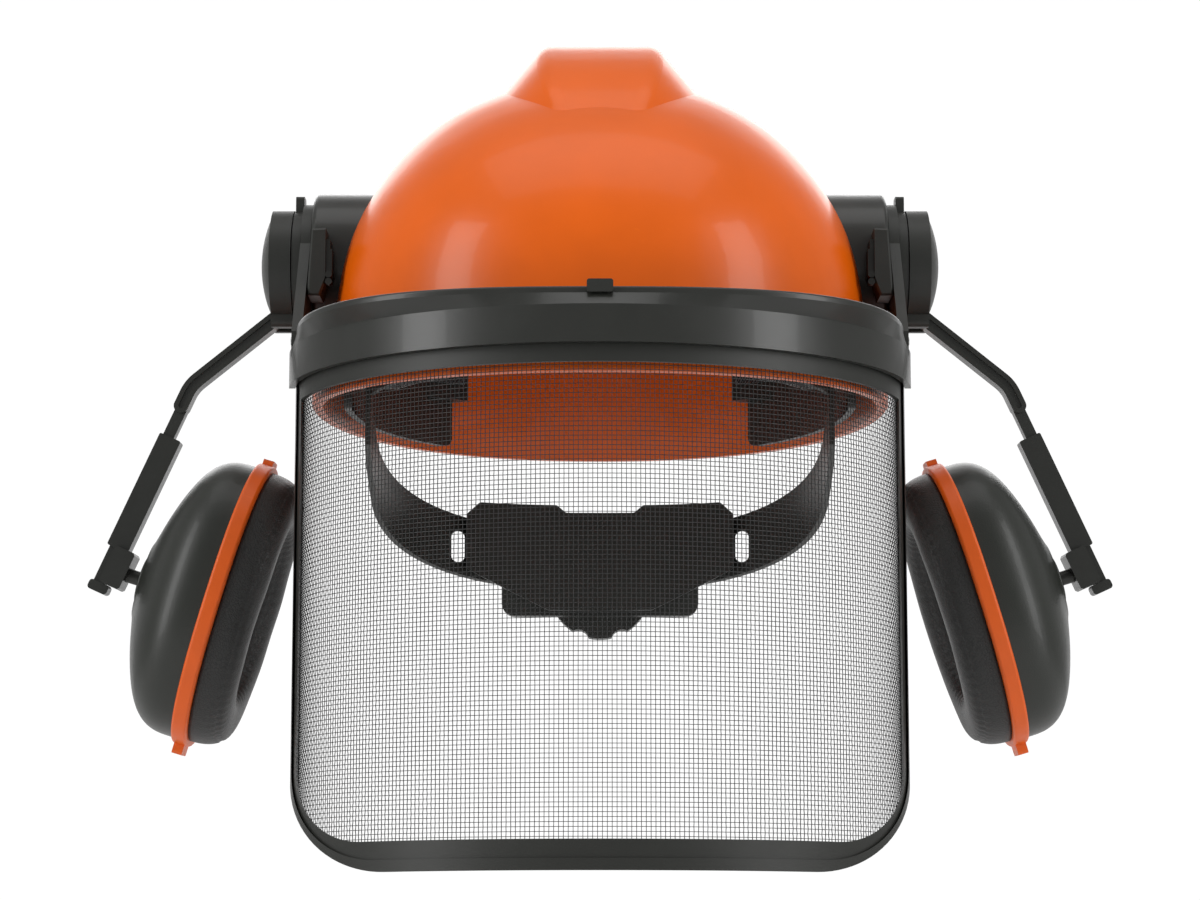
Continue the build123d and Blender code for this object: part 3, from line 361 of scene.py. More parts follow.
@dataclass(frozen=True)
class Moulded(Finish):
    """An injection-moulded plastic with its tool's grain, handling marks and a little dust."""

    grain_scale: float = 2600.0
    grain_depth: float = 0.00003
    coat: float = 0.0
    specular: float = 0.45
    wear: float = 0.5
    dust: float = 0.25
    dust_colour: Colour = (0.30, 0.28, 0.25)

    def material(self, effects: Effects) -> bpy.types.Material:
        """Builds the material.

        Args:
            effects: The shared node groups.

        Returns:
            The material.
        """
        made, board, shader, where = self.start()
        shader.inputs["Coat Roughness"].default_value = 0.07
        shader.inputs["Coat Weight"].default_value = self.coat
        shader.inputs["Specular IOR Level"].default_value = self.specular
        grain = board.node("Group", node_tree=effects.grain)
        wear = board.node("Group", node_tree=effects.wear)
        dust = board.node("Group", node_tree=effects.dust)
        for group in (grain, wear, dust):
            board.tree.links.new(where, group.inputs["Vector"])
        grain.inputs["Scale"].default_value = self.grain_scale
        wear.inputs["Amount"].default_value = self.wear
        dust.inputs["Amount"].default_value = self.dust
        mottled = board.mix(grain.outputs["Mottle"], self.shade(0.9), self.shade(1.1))
        marked = board.mix(wear.outputs["Scratches"], mottled, self.shade(1.7))
        dusty = board.mix(board.math("MULTIPLY", dust.outputs["Dust"], 0.3), marked, self.dust_colour)
        board.tree.links.new(dusty, shader.inputs["Base Color"])
        rough = board.math("ADD", board.math("MULTIPLY", wear.outputs["Rubbed"], 0.12), self.roughness)
        rough = board.math("ADD", rough, board.math("MULTIPLY", dust.outputs["Dust"], 0.2))
        rough = board.math("ADD", rough, board.math("MULTIPLY", grain.outputs["Mottle"], 0.05))
        board.tree.links.new(rough, shader.inputs["Roughness"])
        scored = board.math("SUBTRACT", grain.outputs["Height"], wear.outputs["Scratches"])
        self.relief(board, shader, scored, self.grain_depth)
        return made


@dataclass(frozen=True)
class Plated(Finish):
    """Zinc-plated steel with fine brushing and dull spots."""

    brush: tuple[float, float, float] = (300.0, 9000.0, 9000.0)

    def material(self, effects: Effects) -> bpy.types.Material:
        """Builds the material.

        Args:
            effects: The shared node groups.

        Returns:
            The material.
        """
        made, board, shader, where = self.start()
        shader.inputs["Metallic"].default_value = 1.0
        place = board.node("Mapping", {"Vector": where, "Scale": self.brush})
        brushed = board.node("TexNoise", {"Vector": place.outputs[0], "Scale": 1.0, "Detail": 2.0})
        wear = board.node("Group", {"Vector": where, "Amount": 0.8}, node_tree=effects.wear)
        dull = board.mix(wear.outputs["Rubbed"], self.colour, self.shade(0.62))
        board.tree.links.new(dull, shader.inputs["Base Color"])
        rough = board.math("ADD", board.math("MULTIPLY", brushed.outputs["Fac"], 0.2), self.roughness)
        board.tree.links.new(rough, shader.inputs["Roughness"])
        self.relief(board, shader, brushed.outputs["Fac"], 0.00002)
        return made


@dataclass(frozen=True)
class CoatedWire(Finish):
    """Black coating on woven steel wire, a little uneven from wire to wire."""

    def material(self, effects: Effects) -> bpy.types.Material:
        """Builds the material.

        Args:
            effects: The shared node groups.

        Returns:
            The material.
        """
        made, board, shader, where = self.start()
        grain = board.node("Group", {"Vector": where, "Scale": 900.0}, node_tree=effects.grain)
        toned = board.mix(grain.outputs["Mottle"], self.shade(0.7), self.shade(1.5))
        board.tree.links.new(toned, shader.inputs["Base Color"])
        rough = board.math("ADD", board.math("MULTIPLY", grain.outputs["Mottle"], 0.2), self.roughness)
        board.tree.links.new(rough, shader.inputs["Roughness"])
        return made


@dataclass(frozen=True)
class Cloth(Finish):
    """A woven or looped textile. The pattern runs along the piece or through it. Its colour holds painted
    shade in the gaps between threads or loops, and looped pile also has a painted highlight on each
    loop's top.
    """

    across: float = 1.0
    along: float = 1.0
    depth: float = 0.00025
    sheen: float = 0.35
    loops: float = 0.0

    def material(self, effects: Effects) -> bpy.types.Material:
        """Builds the material.

        Args:
            effects: The shared node groups.

        Returns:
            The material.
        """
        made, board, shader, where = self.start()
        shader.inputs["Sheen Weight"].default_value = self.sheen
        shader.inputs["Sheen Roughness"].default_value = 0.45
        shader.inputs["Specular IOR Level"].default_value = 0.25
        if self.loops:
            pile = board.node("TexVoronoi", {"Vector": where, "Scale": self.loops}, feature="F1")
            height = board.math("SUBTRACT", 1.0, pile.outputs["Distance"])
            # Painted highlight and shade: each loop's top is lightened to 150 percent and the hollows
            # between loops are darkened to 45 percent.
            loop_light_and_shade = board.ramp(pile.outputs["Distance"], 0.15, 0.75)
            coloured = board.mix(loop_light_and_shade, self.shade(1.5), self.shade(0.45))
        else:
            values = {"Vector": where, "Across": self.across, "Along": self.along}
            weave = board.node("Group", values, node_tree=effects.weave)
            height = weave.outputs["Height"]
            threads = board.mix(weave.outputs["Warp"], self.shade(0.85), self.shade(1.25))
            # Painted shade: the colour drops to 35 percent of the thread colour in the gaps between the
            # threads.
            coloured = board.mix(board.ramp(height, 0.1, 0.8), self.shade(0.35), threads)
        board.tree.links.new(coloured, shader.inputs["Base Color"])
        fuzz = board.node("TexNoise", {"Vector": where, "Scale": 900.0, "Detail": 3.0})
        rough = board.math("ADD", board.math("MULTIPLY", fuzz.outputs["Fac"], 0.15), self.roughness)
        board.tree.links.new(rough, shader.inputs["Roughness"])
        self.relief(board, shader, height, self.depth)
        return made


@dataclass(frozen=True)
class Vinyl(Finish):
    """Soft cushion skin with a leather-like grain and creases, with painted shade darkening the creases
    in its colour.
    """

    grain_scale: float = 1500.0

    def material(self, effects: Effects) -> bpy.types.Material:
        """Builds the material.

        Args:
            effects: The shared node groups.

        Returns:
            The material.
        """
        made, board, shader, where = self.start()
        grain = board.node("Group", {"Vector": where, "Scale": self.grain_scale}, node_tree=effects.grain)
        spacing = {"Vector": where, "Scale": self.grain_scale * 0.55}
        pits = board.node("TexVoronoi", spacing, feature="DISTANCE_TO_EDGE")
        crease = board.ramp(pits.outputs["Distance"], 0.0, 0.16)
        # Painted shade: the colour darkens to 60 percent along the creases and lightens to 115 percent on
        # the raised grain between them.
        toned = board.mix(crease, self.shade(0.6), self.shade(1.15))
        board.tree.links.new(toned, shader.inputs["Base Color"])
        rough = board.math("ADD", board.math("MULTIPLY", grain.outputs["Mottle"], 0.16), self.roughness)
        board.tree.links.new(rough, shader.inputs["Roughness"])
        height = board.math("ADD", crease, board.math("MULTIPLY", grain.outputs["Height"], 0.3))
        self.relief(board, shader, height, 0.00009)
        return made


@dataclass(frozen=True)
class OpenFoam(Finish):
    """Open-cell foam, full of small pores, with painted shade darkening each pore in its colour."""

    cells: float = 1400.0

    def material(self, effects: Effects) -> bpy.types.Material:
        """Builds the material.

        Args:
            effects: The shared node groups.

        Returns:
            The material.
        """
        made, board, shader, where = self.start()
        shader.inputs["Specular IOR Level"].default_value = 0.15
        cells = board.node("TexVoronoi", {"Vector": where, "Scale": self.cells}, feature="F1")
        grain = board.node("Group", {"Vector": where, "Scale": self.cells}, node_tree=effects.grain)
        pore_shade = board.ramp(cells.outputs["Distance"], 0.2, 0.62)
        # Painted shade: the colour drops to 20 percent in each pore's hollow and lifts a little on the
        # cell walls.
        coloured = board.mix(pore_shade, self.shade(0.2), self.shade(1.2))
        board.tree.links.new(coloured, shader.inputs["Base Color"])
        rough = board.math("ADD", board.math("MULTIPLY", grain.outputs["Mottle"], 0.1), self.roughness)
        board.tree.links.new(rough, shader.inputs["Roughness"])
        self.relief(board, shader, cells.outputs["Distance"], 0.0003)
        return made


FINISHES: tuple[Finish, ...] = (
    Moulded(
        "shell_orange", (0.80, 0.122, 0.001), 0.3, coat=0.12, specular=0.3, grain_scale=900.0,
        grain_depth=0.000012, wear=0.25, dust=0.04, dust_colour=(0.62, 0.35, 0.16),
    ),
    Moulded("ring_orange", (0.74, 0.105, 0.002), 0.38, grain_scale=2200.0, wear=0.4, dust=0.1),
    Moulded(
        "black_gloss", (0.020, 0.021, 0.018), 0.3, coat=0.12, grain_scale=2400.0,
        grain_depth=0.00002, wear=0.4, dust=0.15,
    ),
    Moulded("black_matte", (0.018, 0.019, 0.016), 0.42, grain_scale=2800.0, wear=0.5, dust=0.2),
    Moulded(
        "cup_black", (0.017, 0.019, 0.015), 0.36, coat=0.08, grain_scale=2000.0,
        grain_depth=0.000035, wear=0.45, dust=0.15,
    ),
    Plated("steel", (0.56, 0.56, 0.55), 0.24),
    CoatedWire("wire", (0.012, 0.012, 0.012), 0.34),
    Cloth(
        "webbing", (0.035, 0.036, 0.038), 0.7, Coordinates.LENGTHWISE, across=1250.0,
        along=950.0, depth=0.0003,
    ),
    Cloth("padding", (0.030, 0.030, 0.032), 0.82, loops=1100.0, depth=0.0006, sheen=0.5),
    OpenFoam("foam", (0.055, 0.055, 0.060), 0.9),
    Vinyl("cushion_vinyl", (0.020, 0.020, 0.019), 0.38),
    Plated("blackened_steel", (0.055, 0.055, 0.052), 0.3),
    Cloth("thread", (0.16, 0.16, 0.16), 0.65, across=6000.0, along=6000.0, depth=0.0001),
)

BLACKENED = (
    "left_cup_pin",
    "right_cup_pin",
    "left_swing_pin",
    "right_swing_pin",
    "stop_leaves",
    "stop_screws",
)


class Wardrobe:
    """Every finish, built once, and the record's slot of each CAD node."""

    def __init__(self) -> None:
        """Builds the finishes and reads the slots."""
        effects = Effects()
        self.materials = {finish.name: finish.material(effects) for finish in FINISHES}
        self.slots = {row["node"]: row["material_slot"] for row in frame["record"]["subparts"]}
        for name in BLACKENED:
            self.slots[name] = "blackened_steel"

    def dress_nodes(self) -> None:
        """Gives every CAD node the finish of its slot."""
        for name, piece in frame["nodes"].items():
            piece.data.materials.clear()
            piece.data.materials.append(self.materials[self.slots[name]])

    def dress(self, piece: bpy.types.Object, finish: str) -> bpy.types.Object:
        """Gives a new piece its finish.

        Args:
            piece: The piece.
            finish: Name of the finish.

        Returns:
            The piece.
        """
        piece.data.materials.clear()
        piece.data.materials.append(self.materials[finish])
        return piece


# ---- mesh helpers ----


def signed_power(value: np.ndarray, power: float) -> np.ndarray:
    """A power that keeps each value's sign."""
    return np.sign(value) * np.abs(value) ** power


def oval_at(turns: np.ndarray, half_x: float, half_y: float, power: float) -> np.ndarray:
    """Points of a superellipse.

    Args:
        turns: Angles, in radians.
        half_x: Half its width.
        half_y: Half its height.
        power: 2 for an ellipse, more for a squarer outline.

    Returns:
        One row of X and Y for each angle.
    """
    x = half_x * signed_power(np.cos(turns), 2 / power)
    y = half_y * signed_power(np.sin(turns), 2 / power)
    return np.stack([x, y], axis=-1)


def build_piece(name: str, points: np.ndarray, faces: Sequence[Sequence[int]]) -> bpy.types.Object:
    """Makes a smooth-shaded mesh object.

    Args:
        name: The piece's name.
        points: Corners, one row each.
        faces: Corner numbers of each face.

    Returns:
        The new object, linked to the scene.
    """
    mesh = bpy.data.meshes.new(name)
    mesh.from_pydata(points.reshape(-1, 3).tolist(), [], [list(face) for face in faces])
    mesh.update()
    mesh.shade_smooth()
    made = bpy.data.objects.new(name, mesh)
    bpy.context.scene.collection.objects.link(made)
    return made


def grid_faces(
    rows: int, columns: int, close_rows: bool, close_columns: bool, flip: bool = False
) -> np.ndarray:
    """Quads of a grid of points.

    Args:
        rows: Points down the grid.
        columns: Points across the grid.
        close_rows: Whether the last row joins the first.
        close_columns: Whether the last column joins the first.
        flip: Whether the faces look the other way.

    Returns:
        One row of four corner numbers for each quad.
    """
    down = np.arange(rows if close_rows else rows - 1)[:, None]
    over = np.arange(columns if close_columns else columns - 1)[None, :]
    next_down = (down + 1) % rows
    next_over = (over + 1) % columns
    corners = [down * columns + over, next_down * columns + over]
    corners += [next_down * columns + next_over, down * columns + next_over]
    shape = (down.size, over.size)
    quads = np.stack([np.broadcast_to(c, shape) for c in corners], axis=-1).reshape(-1, 4)
    return quads[:, ::-1] if flip else quads


def wobble(points: np.ndarray, size: float) -> np.ndarray:
    """Smooth noise from -1 to 1 at each point.

    Args:
        points: Places, one row each, in metres.
        size: Size of one wave, in metres.

    Returns:
        One value for each point.
    """
    flat = points.reshape(-1, 3) / size
    values = [noise.noise(Vector(p)) for p in flat]
    return np.array(values).reshape(points.shape[:-1])


def stitch_row(name: str, path: np.ndarray, length: float, gap: float, radius: float) -> bpy.types.Object:
    """A row of sewn stitches along a path, each one a short thread that dips at both ends.

    Args:
        name: The piece's name.
        path: Points along the seam, one row each.
        length: Length of one stitch.
        gap: Space between two stitches.
        radius: Radius of the thread.

    Returns:
        The stitches as one object.
    """
    steps = np.linalg.norm(np.diff(path, axis=0), axis=1)
    travelled = np.concatenate([[0.0], np.cumsum(steps)])
    count = int(travelled[-1] / (length + gap))
    sides, rings = 6, 5
    points, faces = [], []
    around = np.arange(sides) * 2 * math.pi / sides
    swell = np.array([0.25, 0.85, 1.0, 0.85, 0.25])
    for i in range(count):
        first = i * (length + gap)
        at = np.linspace(first, first + length, rings)
        spine = np.stack([np.interp(at, travelled, path[:, k]) for k in range(3)], axis=-1)
        ahead = spine[-1] - spine[0]
        ahead /= np.linalg.norm(ahead)
        side = np.cross(ahead, (0.31, 0.57, 0.76))
        side /= np.linalg.norm(side)
        other = np.cross(ahead, side)
        ring = np.cos(around)[:, None] * side + np.sin(around)[:, None] * other
        block = spine[:, None, :] + ring[None, :, :] * (radius * swell)[:, None, None]
        base = len(points) * rings * sides
        faces.extend((grid_faces(rings, sides, False, True) + base).tolist())
        faces.append([base + k for k in range(sides)])
        faces.append([base + (rings - 1) * sides + k for k in reversed(range(sides))])
        points.append(block)
    return build_piece(name, np.array(points), faces)


# ---- visor ----


@dataclass
class VisorScreen:
    """The visor's woven wire screen, curved round an ellipse and cut to the frame's shape."""

    origin_y: float = -175.0 * MM
    lean: float = math.radians(2.0)
    half_width: float = 121.2 * MM
    depth: float = 109.2 * MM
    centre: float = 115.0 * MM
    reach: float = 102.6 * MM
    outline_half: float = 121.4 * MM
    top: float = 13.3 * MM
    bottom: float = -181.2 * MM
    corner: float = 34.2 * MM
    pitch: float = 1.8 * MM
    wire_radius: float = 0.17 * MM
    weave_rise: float = 0.13 * MM
    sides: int = 4

    def plan_at(self, turns: np.ndarray) -> np.ndarray:
        """Plan points of the screen's curve at the given angles."""
        across, back = self.half_width * np.sin(turns), self.centre - self.depth * np.cos(turns)
        return np.stack([across, back], axis=-1)

    def stations(self) -> tuple[np.ndarray, np.ndarray, np.ndarray]:
        """Places of the upright wires, one pitch apart along the curve.

        Returns:
            Plan points, outward normals and the lowest height at each upright wire.
        """
        limit = math.acos((self.centre - self.reach) / self.depth)
        turn = np.linspace(-limit, limit, 4001)
        curve = self.plan_at(turn)
        run = np.concatenate([[0.0], np.cumsum(np.linalg.norm(np.diff(curve, axis=0), axis=1))])
        count = int(run[-1] / self.pitch)
        at = run[-1] / 2 + (np.arange(count + 1) - count / 2) * self.pitch
        turns = np.interp(at, run, turn)
        plan = self.plan_at(turns)
        outward = np.stack([np.sin(turns) / self.half_width, -np.cos(turns) / self.depth], axis=-1)
        outward /= np.linalg.norm(outward, axis=1, keepdims=True)
        past = np.clip(np.abs(plan[:, 0]) - (self.outline_half - self.corner), 0.0, self.corner)
        low = self.bottom + self.corner - np.sqrt(self.corner**2 - past**2)
        return plan, outward, low

    def place(self, plan: np.ndarray, height: np.ndarray) -> np.ndarray:
        """Turns plan points and heights in the visor's plane into the row frame.

        Args:
            plan: X and Y in the visor's plane.
            height: Heights over the visor's plane.

        Returns:
            Points in the row frame.
        """
        x, y = plan[..., 0], plan[..., 1]
        cosine, sine = math.cos(self.lean), math.sin(self.lean)
        back = self.origin_y + y * cosine + height * sine
        return np.stack([x, back, height * cosine - y * sine], axis=-1)

    def wires(self, name: str, lines: list[tuple[np.ndarray, np.ndarray]]) -> bpy.types.Object:
        """Makes thin tubes along several lines.

        Args:
            name: The piece's name.
            lines: Points and outward normals of each line.

        Returns:
            The wires as one object.
        """
        points, faces = [], []
        total = 0
        around = (np.arange(self.sides) + 0.5) * 2 * math.pi / self.sides
        for spine, outward in lines:
            ahead = np.gradient(spine, axis=0)
            side = np.cross(ahead, outward)
            side /= np.linalg.norm(side, axis=1, keepdims=True)
            ring = np.cos(around)[None, :, None] * side[:, None, :]
            ring = ring + np.sin(around)[None, :, None] * outward[:, None, :]
            block = spine[:, None, :] + ring * self.wire_radius
            rows = len(spine)
            faces.append(grid_faces(rows, self.sides, False, True) + total)
            faces.append(np.array([[total + k for k in range(self.sides)]]))
            last = total + (rows - 1) * self.sides
            faces.append(np.array([[last + k for k in reversed(range(self.sides))]]))
            points.append(block.reshape(-1, 3))
            total += rows * self.sides
        return build_piece(name, np.concatenate(points), np.concatenate(faces).tolist())

    def build(self, wardrobe: Wardrobe) -> list[bpy.types.Object]:
        """Weaves the screen in four pieces.

        Args:
            wardrobe: The finishes.

        Returns:
            The screen's pieces.
        """
        plan, outward, low = self.stations()
        heights = np.arange(self.top - self.pitch / 2, self.bottom, -self.pitch)
        zero = np.zeros(len(plan))
        normal = self.place(outward, zero) - self.place(np.zeros_like(outward), zero)
        upright: list[tuple[np.ndarray, np.ndarray]] = []
        for i in range(len(plan)):
            at = heights[heights > low[i]]
            rise = np.where((np.arange(len(at)) + i) % 2, 1.0, -1.0) * self.weave_rise
            flat = self.place(np.repeat(plan[i : i + 1], len(at), axis=0), at)
            spine = flat + rise[:, None] * normal[i]
            upright.append((spine, np.repeat(normal[i : i + 1], len(at), axis=0)))
        level: list[tuple[np.ndarray, np.ndarray]] = []
        for j, height in enumerate(heights):
            inside = np.nonzero(low < height)[0]
            rise = np.where((inside + j) % 2, -1.0, 1.0) * self.weave_rise
            flat = self.place(plan[inside], np.full(len(inside), height))
            spine = flat + rise[:, None] * normal[inside]
            level.append((spine, normal[inside]))
        middle, waist = len(upright) // 2, len(level) // 2
        groups = {
            "visor_wires_upright_right": upright[:middle],
            "visor_wires_upright_left": upright[middle:],
            "visor_wires_level_upper": level[:waist],
            "visor_wires_level_lower": level[waist:],
        }
        made = []
        for name, lines in groups.items():
            piece = wardrobe.dress(self.wires(name, lines), "wire")
            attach(piece, "visor")
            made.append(piece)
        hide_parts("visor_mesh")
        return made


# ---- ear defenders ----


@dataclass
class EarDefender:
    """The soft pieces of one ear cup: its cushion and the sound foam inside."""

    side: Side
    centre: tuple[float, float, float] = (156.6 * MM, -22.0 * MM, -80.5 * MM)
    tilt: float = math.radians(16.8)
    power: float = 2.3
    seat: float = 3.35 * MM
    cushion_thickness: float = 15.0 * MM
    outer_half_width: float = 44.3 * MM
    outer_half_height: float = 58.3 * MM
    hole_half_width: float = 21.2 * MM
    hole_half_height: float = 33.2 * MM
    foam_half_width: float = 35.8 * MM
    foam_half_height: float = 48.8 * MM
    foam_face: float = 1.3 * MM
    foam_thickness: float = 13.5 * MM
    foam_pitch: float = 12.0 * MM
    foam_rise: float = 3.2 * MM

    def place(self, plane: np.ndarray, out: np.ndarray) -> np.ndarray:
        """Turns points in the cup's own plane into the row frame.

        Args:
            plane: Along Y, and up the cup.
            out: Distance outwards, away from the head.

        Returns:
            Points in the row frame, on this ear defender's side.
        """
        cosine, sine = math.cos(self.tilt), math.sin(self.tilt)
        x = self.centre[0] - plane[..., 1] * sine + out * cosine
        y = self.centre[1] + plane[..., 0]
        z = self.centre[2] + plane[..., 1] * cosine + out * sine
        return np.stack([x * self.side.value, y, z], axis=-1)

    def cushion(self, wardrobe: Wardrobe) -> bpy.types.Object:
        """The vinyl cushion: a crowned ring with welded seams and small puckers beside them.

        Args:
            wardrobe: The finishes.

        Returns:
            The cushion.
        """
        stations, arc = 220, 44
        turns = np.arange(stations) * 2 * math.pi / stations
        outer = oval_at(turns, self.outer_half_width, self.outer_half_height, self.power)
        inner = oval_at(turns, self.hole_half_width, self.hole_half_height, self.power)
        bow = np.linspace(0, math.pi, arc)
        across = 0.5 - 0.5 * signed_power(np.cos(bow), 2 / 2.6)
        rise = signed_power(np.sin(bow), 2 / 2.3)
        plane = inner[:, None, :] + (outer - inner)[:, None, :] * across[None, :, None]
        depth = np.repeat(rise[None, :], stations, axis=0) * self.cushion_thickness
        spread = self.place(plane, -self.seat - depth)
        for seam, width, sink in ((0.13, 0.018, 0.9), (0.87, 0.018, 0.9)):
            groove = np.exp(-(((across - seam) / width) ** 2)) * sink * MM
            depth -= groove[None, :] * (rise > 0.3)[None, :]
        for seam, lobes in ((0.13, 57), (0.87, 71)):
            beside = np.exp(-(((across - seam) / 0.11) ** 2))[None, :]
            fold = np.sin(turns * lobes + 3.0 * wobble(spread[:, :1], 0.03)[:, 0])[:, None]
            depth += 0.28 * MM * beside * fold * (rise > 0.25)[None, :]
        depth += wobble(spread, 0.022) * 0.5 * MM * rise[None, :]
        points = self.place(plane, -self.seat - depth)
        faces = grid_faces(stations, arc, True, True, self.side is Side.RIGHT)
        made = build_piece(f"{self.side.word}_cushion_skin", points, faces.tolist())
        wardrobe.dress(made, "cushion_vinyl")
        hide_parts(f"{self.side.word}_ear_cushion")
        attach(made, f"{self.side.word}_muff")
        return made

    def foam(self, wardrobe: Wardrobe) -> bpy.types.Object:
        """The egg-crate foam behind the cushion's hole.

        Args:
            wardrobe: The finishes.

        Returns:
            The foam.
        """
        stations, rings = 144, 40
        turns = np.arange(stations) * 2 * math.pi / stations
        edge = oval_at(turns, self.foam_half_width, self.foam_half_height, self.power)
        share = np.linspace(0.02, 1.0, rings)
        face = edge[None, :, :] * share[:, None, None]
        wave = 2 * math.pi / self.foam_pitch
        bumps = np.sin(face[..., 0] * wave) * np.sin(face[..., 1] * wave)
        sunk = (0.5 - 0.5 * bumps) * self.foam_rise * (1 - share[:, None] ** 8)
        front = self.place(face, self.foam_face + sunk)
        end = self.foam_face + self.foam_thickness
        outline = ((1.0, end - 10.8 * MM), (0.995, end - 1.8 * MM), (0.96, end - 0.2 * MM))
        outline += ((0.6, end), (0.1, end), (0.02, end))
        back = [self.place(edge * grow, np.full(stations, out)) for grow, out in outline]
        points = np.concatenate([front, np.array(back)])
        faces = grid_faces(len(points), stations, False, True, self.side is Side.LEFT).tolist()
        first = list(range(stations))
        last = [(len(points) - 1) * stations + k for k in range(stations)]
        faces.append(first if self.side is Side.RIGHT else first[::-1])
        faces.append(last[::-1] if self.side is Side.RIGHT else last)
        made = build_piece(f"{self.side.word}_foam_insert", points, faces)
        wardrobe.dress(made, "foam")
        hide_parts(f"{self.side.word}_sound_foam")
        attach(made, f"{self.side.word}_muff")
        return made

    def build(self, wardrobe: Wardrobe) -> list[bpy.types.Object]:
        """Makes the cushion and the foam."""
        return [self.cushion(wardrobe), self.foam(wardrobe)]


# ---- head harness ----


@dataclass
class Sweatband:
    """The quilted pad inside the front of the headband."""

    half_x: float = 100.0 * MM
    front: float = 147.0 * MM
    centre_y: float = 25.0 * MM
    power: float = 2.35
    end_y: float = -60.5 * MM
    low: float = 4.5 * MM
    high: float = 37.5 * MM
    thickness: float = 4.4 * MM
    channel: float = 15.0 * MM

    def curve(self, count: int) -> tuple[np.ndarray, np.ndarray, np.ndarray]:
        """The headband's inner face in plan, evenly spaced.

        Args:
            count: Number of stations.

        Returns:
            Plan points, inward normals and the distance travelled.
        """
        start = math.asin(((self.centre_y - self.end_y) / self.front) ** (self.power / 2))
        turns = np.linspace(-start, -math.pi + start, 3000)
        plan = oval_at(turns, self.half_x, self.front, self.power) + np.array([0.0, self.centre_y])
        run = np.concatenate([[0.0], np.cumsum(np.linalg.norm(np.diff(plan, axis=0), axis=1))])
        at = np.linspace(0, run[-1], count)
        even = np.stack([np.interp(at, run, plan[:, k]) for k in range(2)], axis=-1)
        ahead = np.gradient(even, axis=0)
        ahead /= np.linalg.norm(ahead, axis=1, keepdims=True)
        inward = np.stack([ahead[:, 1], -ahead[:, 0]], axis=-1)
        return even, inward, at

    def build(self, wardrobe: Wardrobe) -> list[bpy.types.Object]:
        """Makes the pad and its edge stitching.

        Args:
            wardrobe: The finishes.

        Returns:
            The pad and the stitches.
        """
        count, loop = 380, 28
        plan, inward, at = self.curve(count)
        phi = np.arange(loop) * 2 * math.pi / loop
        up = signed_power(np.sin(phi), 2 / 3.6)
        out = 0.5 + 0.5 * signed_power(np.cos(phi), 2 / 2.4)
        middle, half = (self.low + self.high) / 2, (self.high - self.low) / 2
        to_end = np.minimum(at, at[-1] - at)
        rounding = np.sqrt(np.clip(1 - (1 - np.clip(to_end / (6 * MM), 0, 1)) ** 2, 0.02, 1))
        sewn = np.abs(((at - at[-1] / 2) / self.channel + 0.5) % 1 - 0.5) * self.channel
        channel = 1 - 0.45 * np.exp(-((sewn / (1.1 * MM)) ** 2))
        depth = 0.2 * MM + out[None, :] * (self.thickness - 0.2 * MM) * (channel * rounding)[:, None]
        height = middle + up[None, :] * half * (0.86 + 0.14 * rounding)[:, None]
        flat = plan[:, None, :] + inward[:, None, :] * depth[..., None]
        points = np.concatenate([flat, height[..., None]], axis=-1)
        fluff = wobble(points, 0.012)[..., None] * out[None, :, None] * 0.25 * MM
        points[..., :2] -= inward[:, None, :] * np.abs(fluff)
        faces = grid_faces(count, loop, False, True, True).tolist()
        faces.append(list(range(loop)))
        faces.append([(count - 1) * loop + k for k in reversed(range(loop))])
        pad = wardrobe.dress(build_piece("sweatband_pad", points, faces), "padding")
        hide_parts("sweatband")
        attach(pad, "helmet")
        made = [pad]
        keep = (at > 8 * MM) & (at < at[-1] - 8 * MM)
        for word, z in (("upper", self.high - 3.4 * MM), ("lower", self.low + 3.4 * MM)):
            seam = plan[keep] + inward[keep] * (self.thickness * 0.84)
            path = np.concatenate([seam, np.full((len(seam), 1), z)], axis=1)
            row = stitch_row(f"sweatband_stitches_{word}", path, 3 * MM, 1.4 * MM, 0.3 * MM)
            wardrobe.dress(row, "thread")
            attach(row, "helmet")
            made.append(row)
        return made


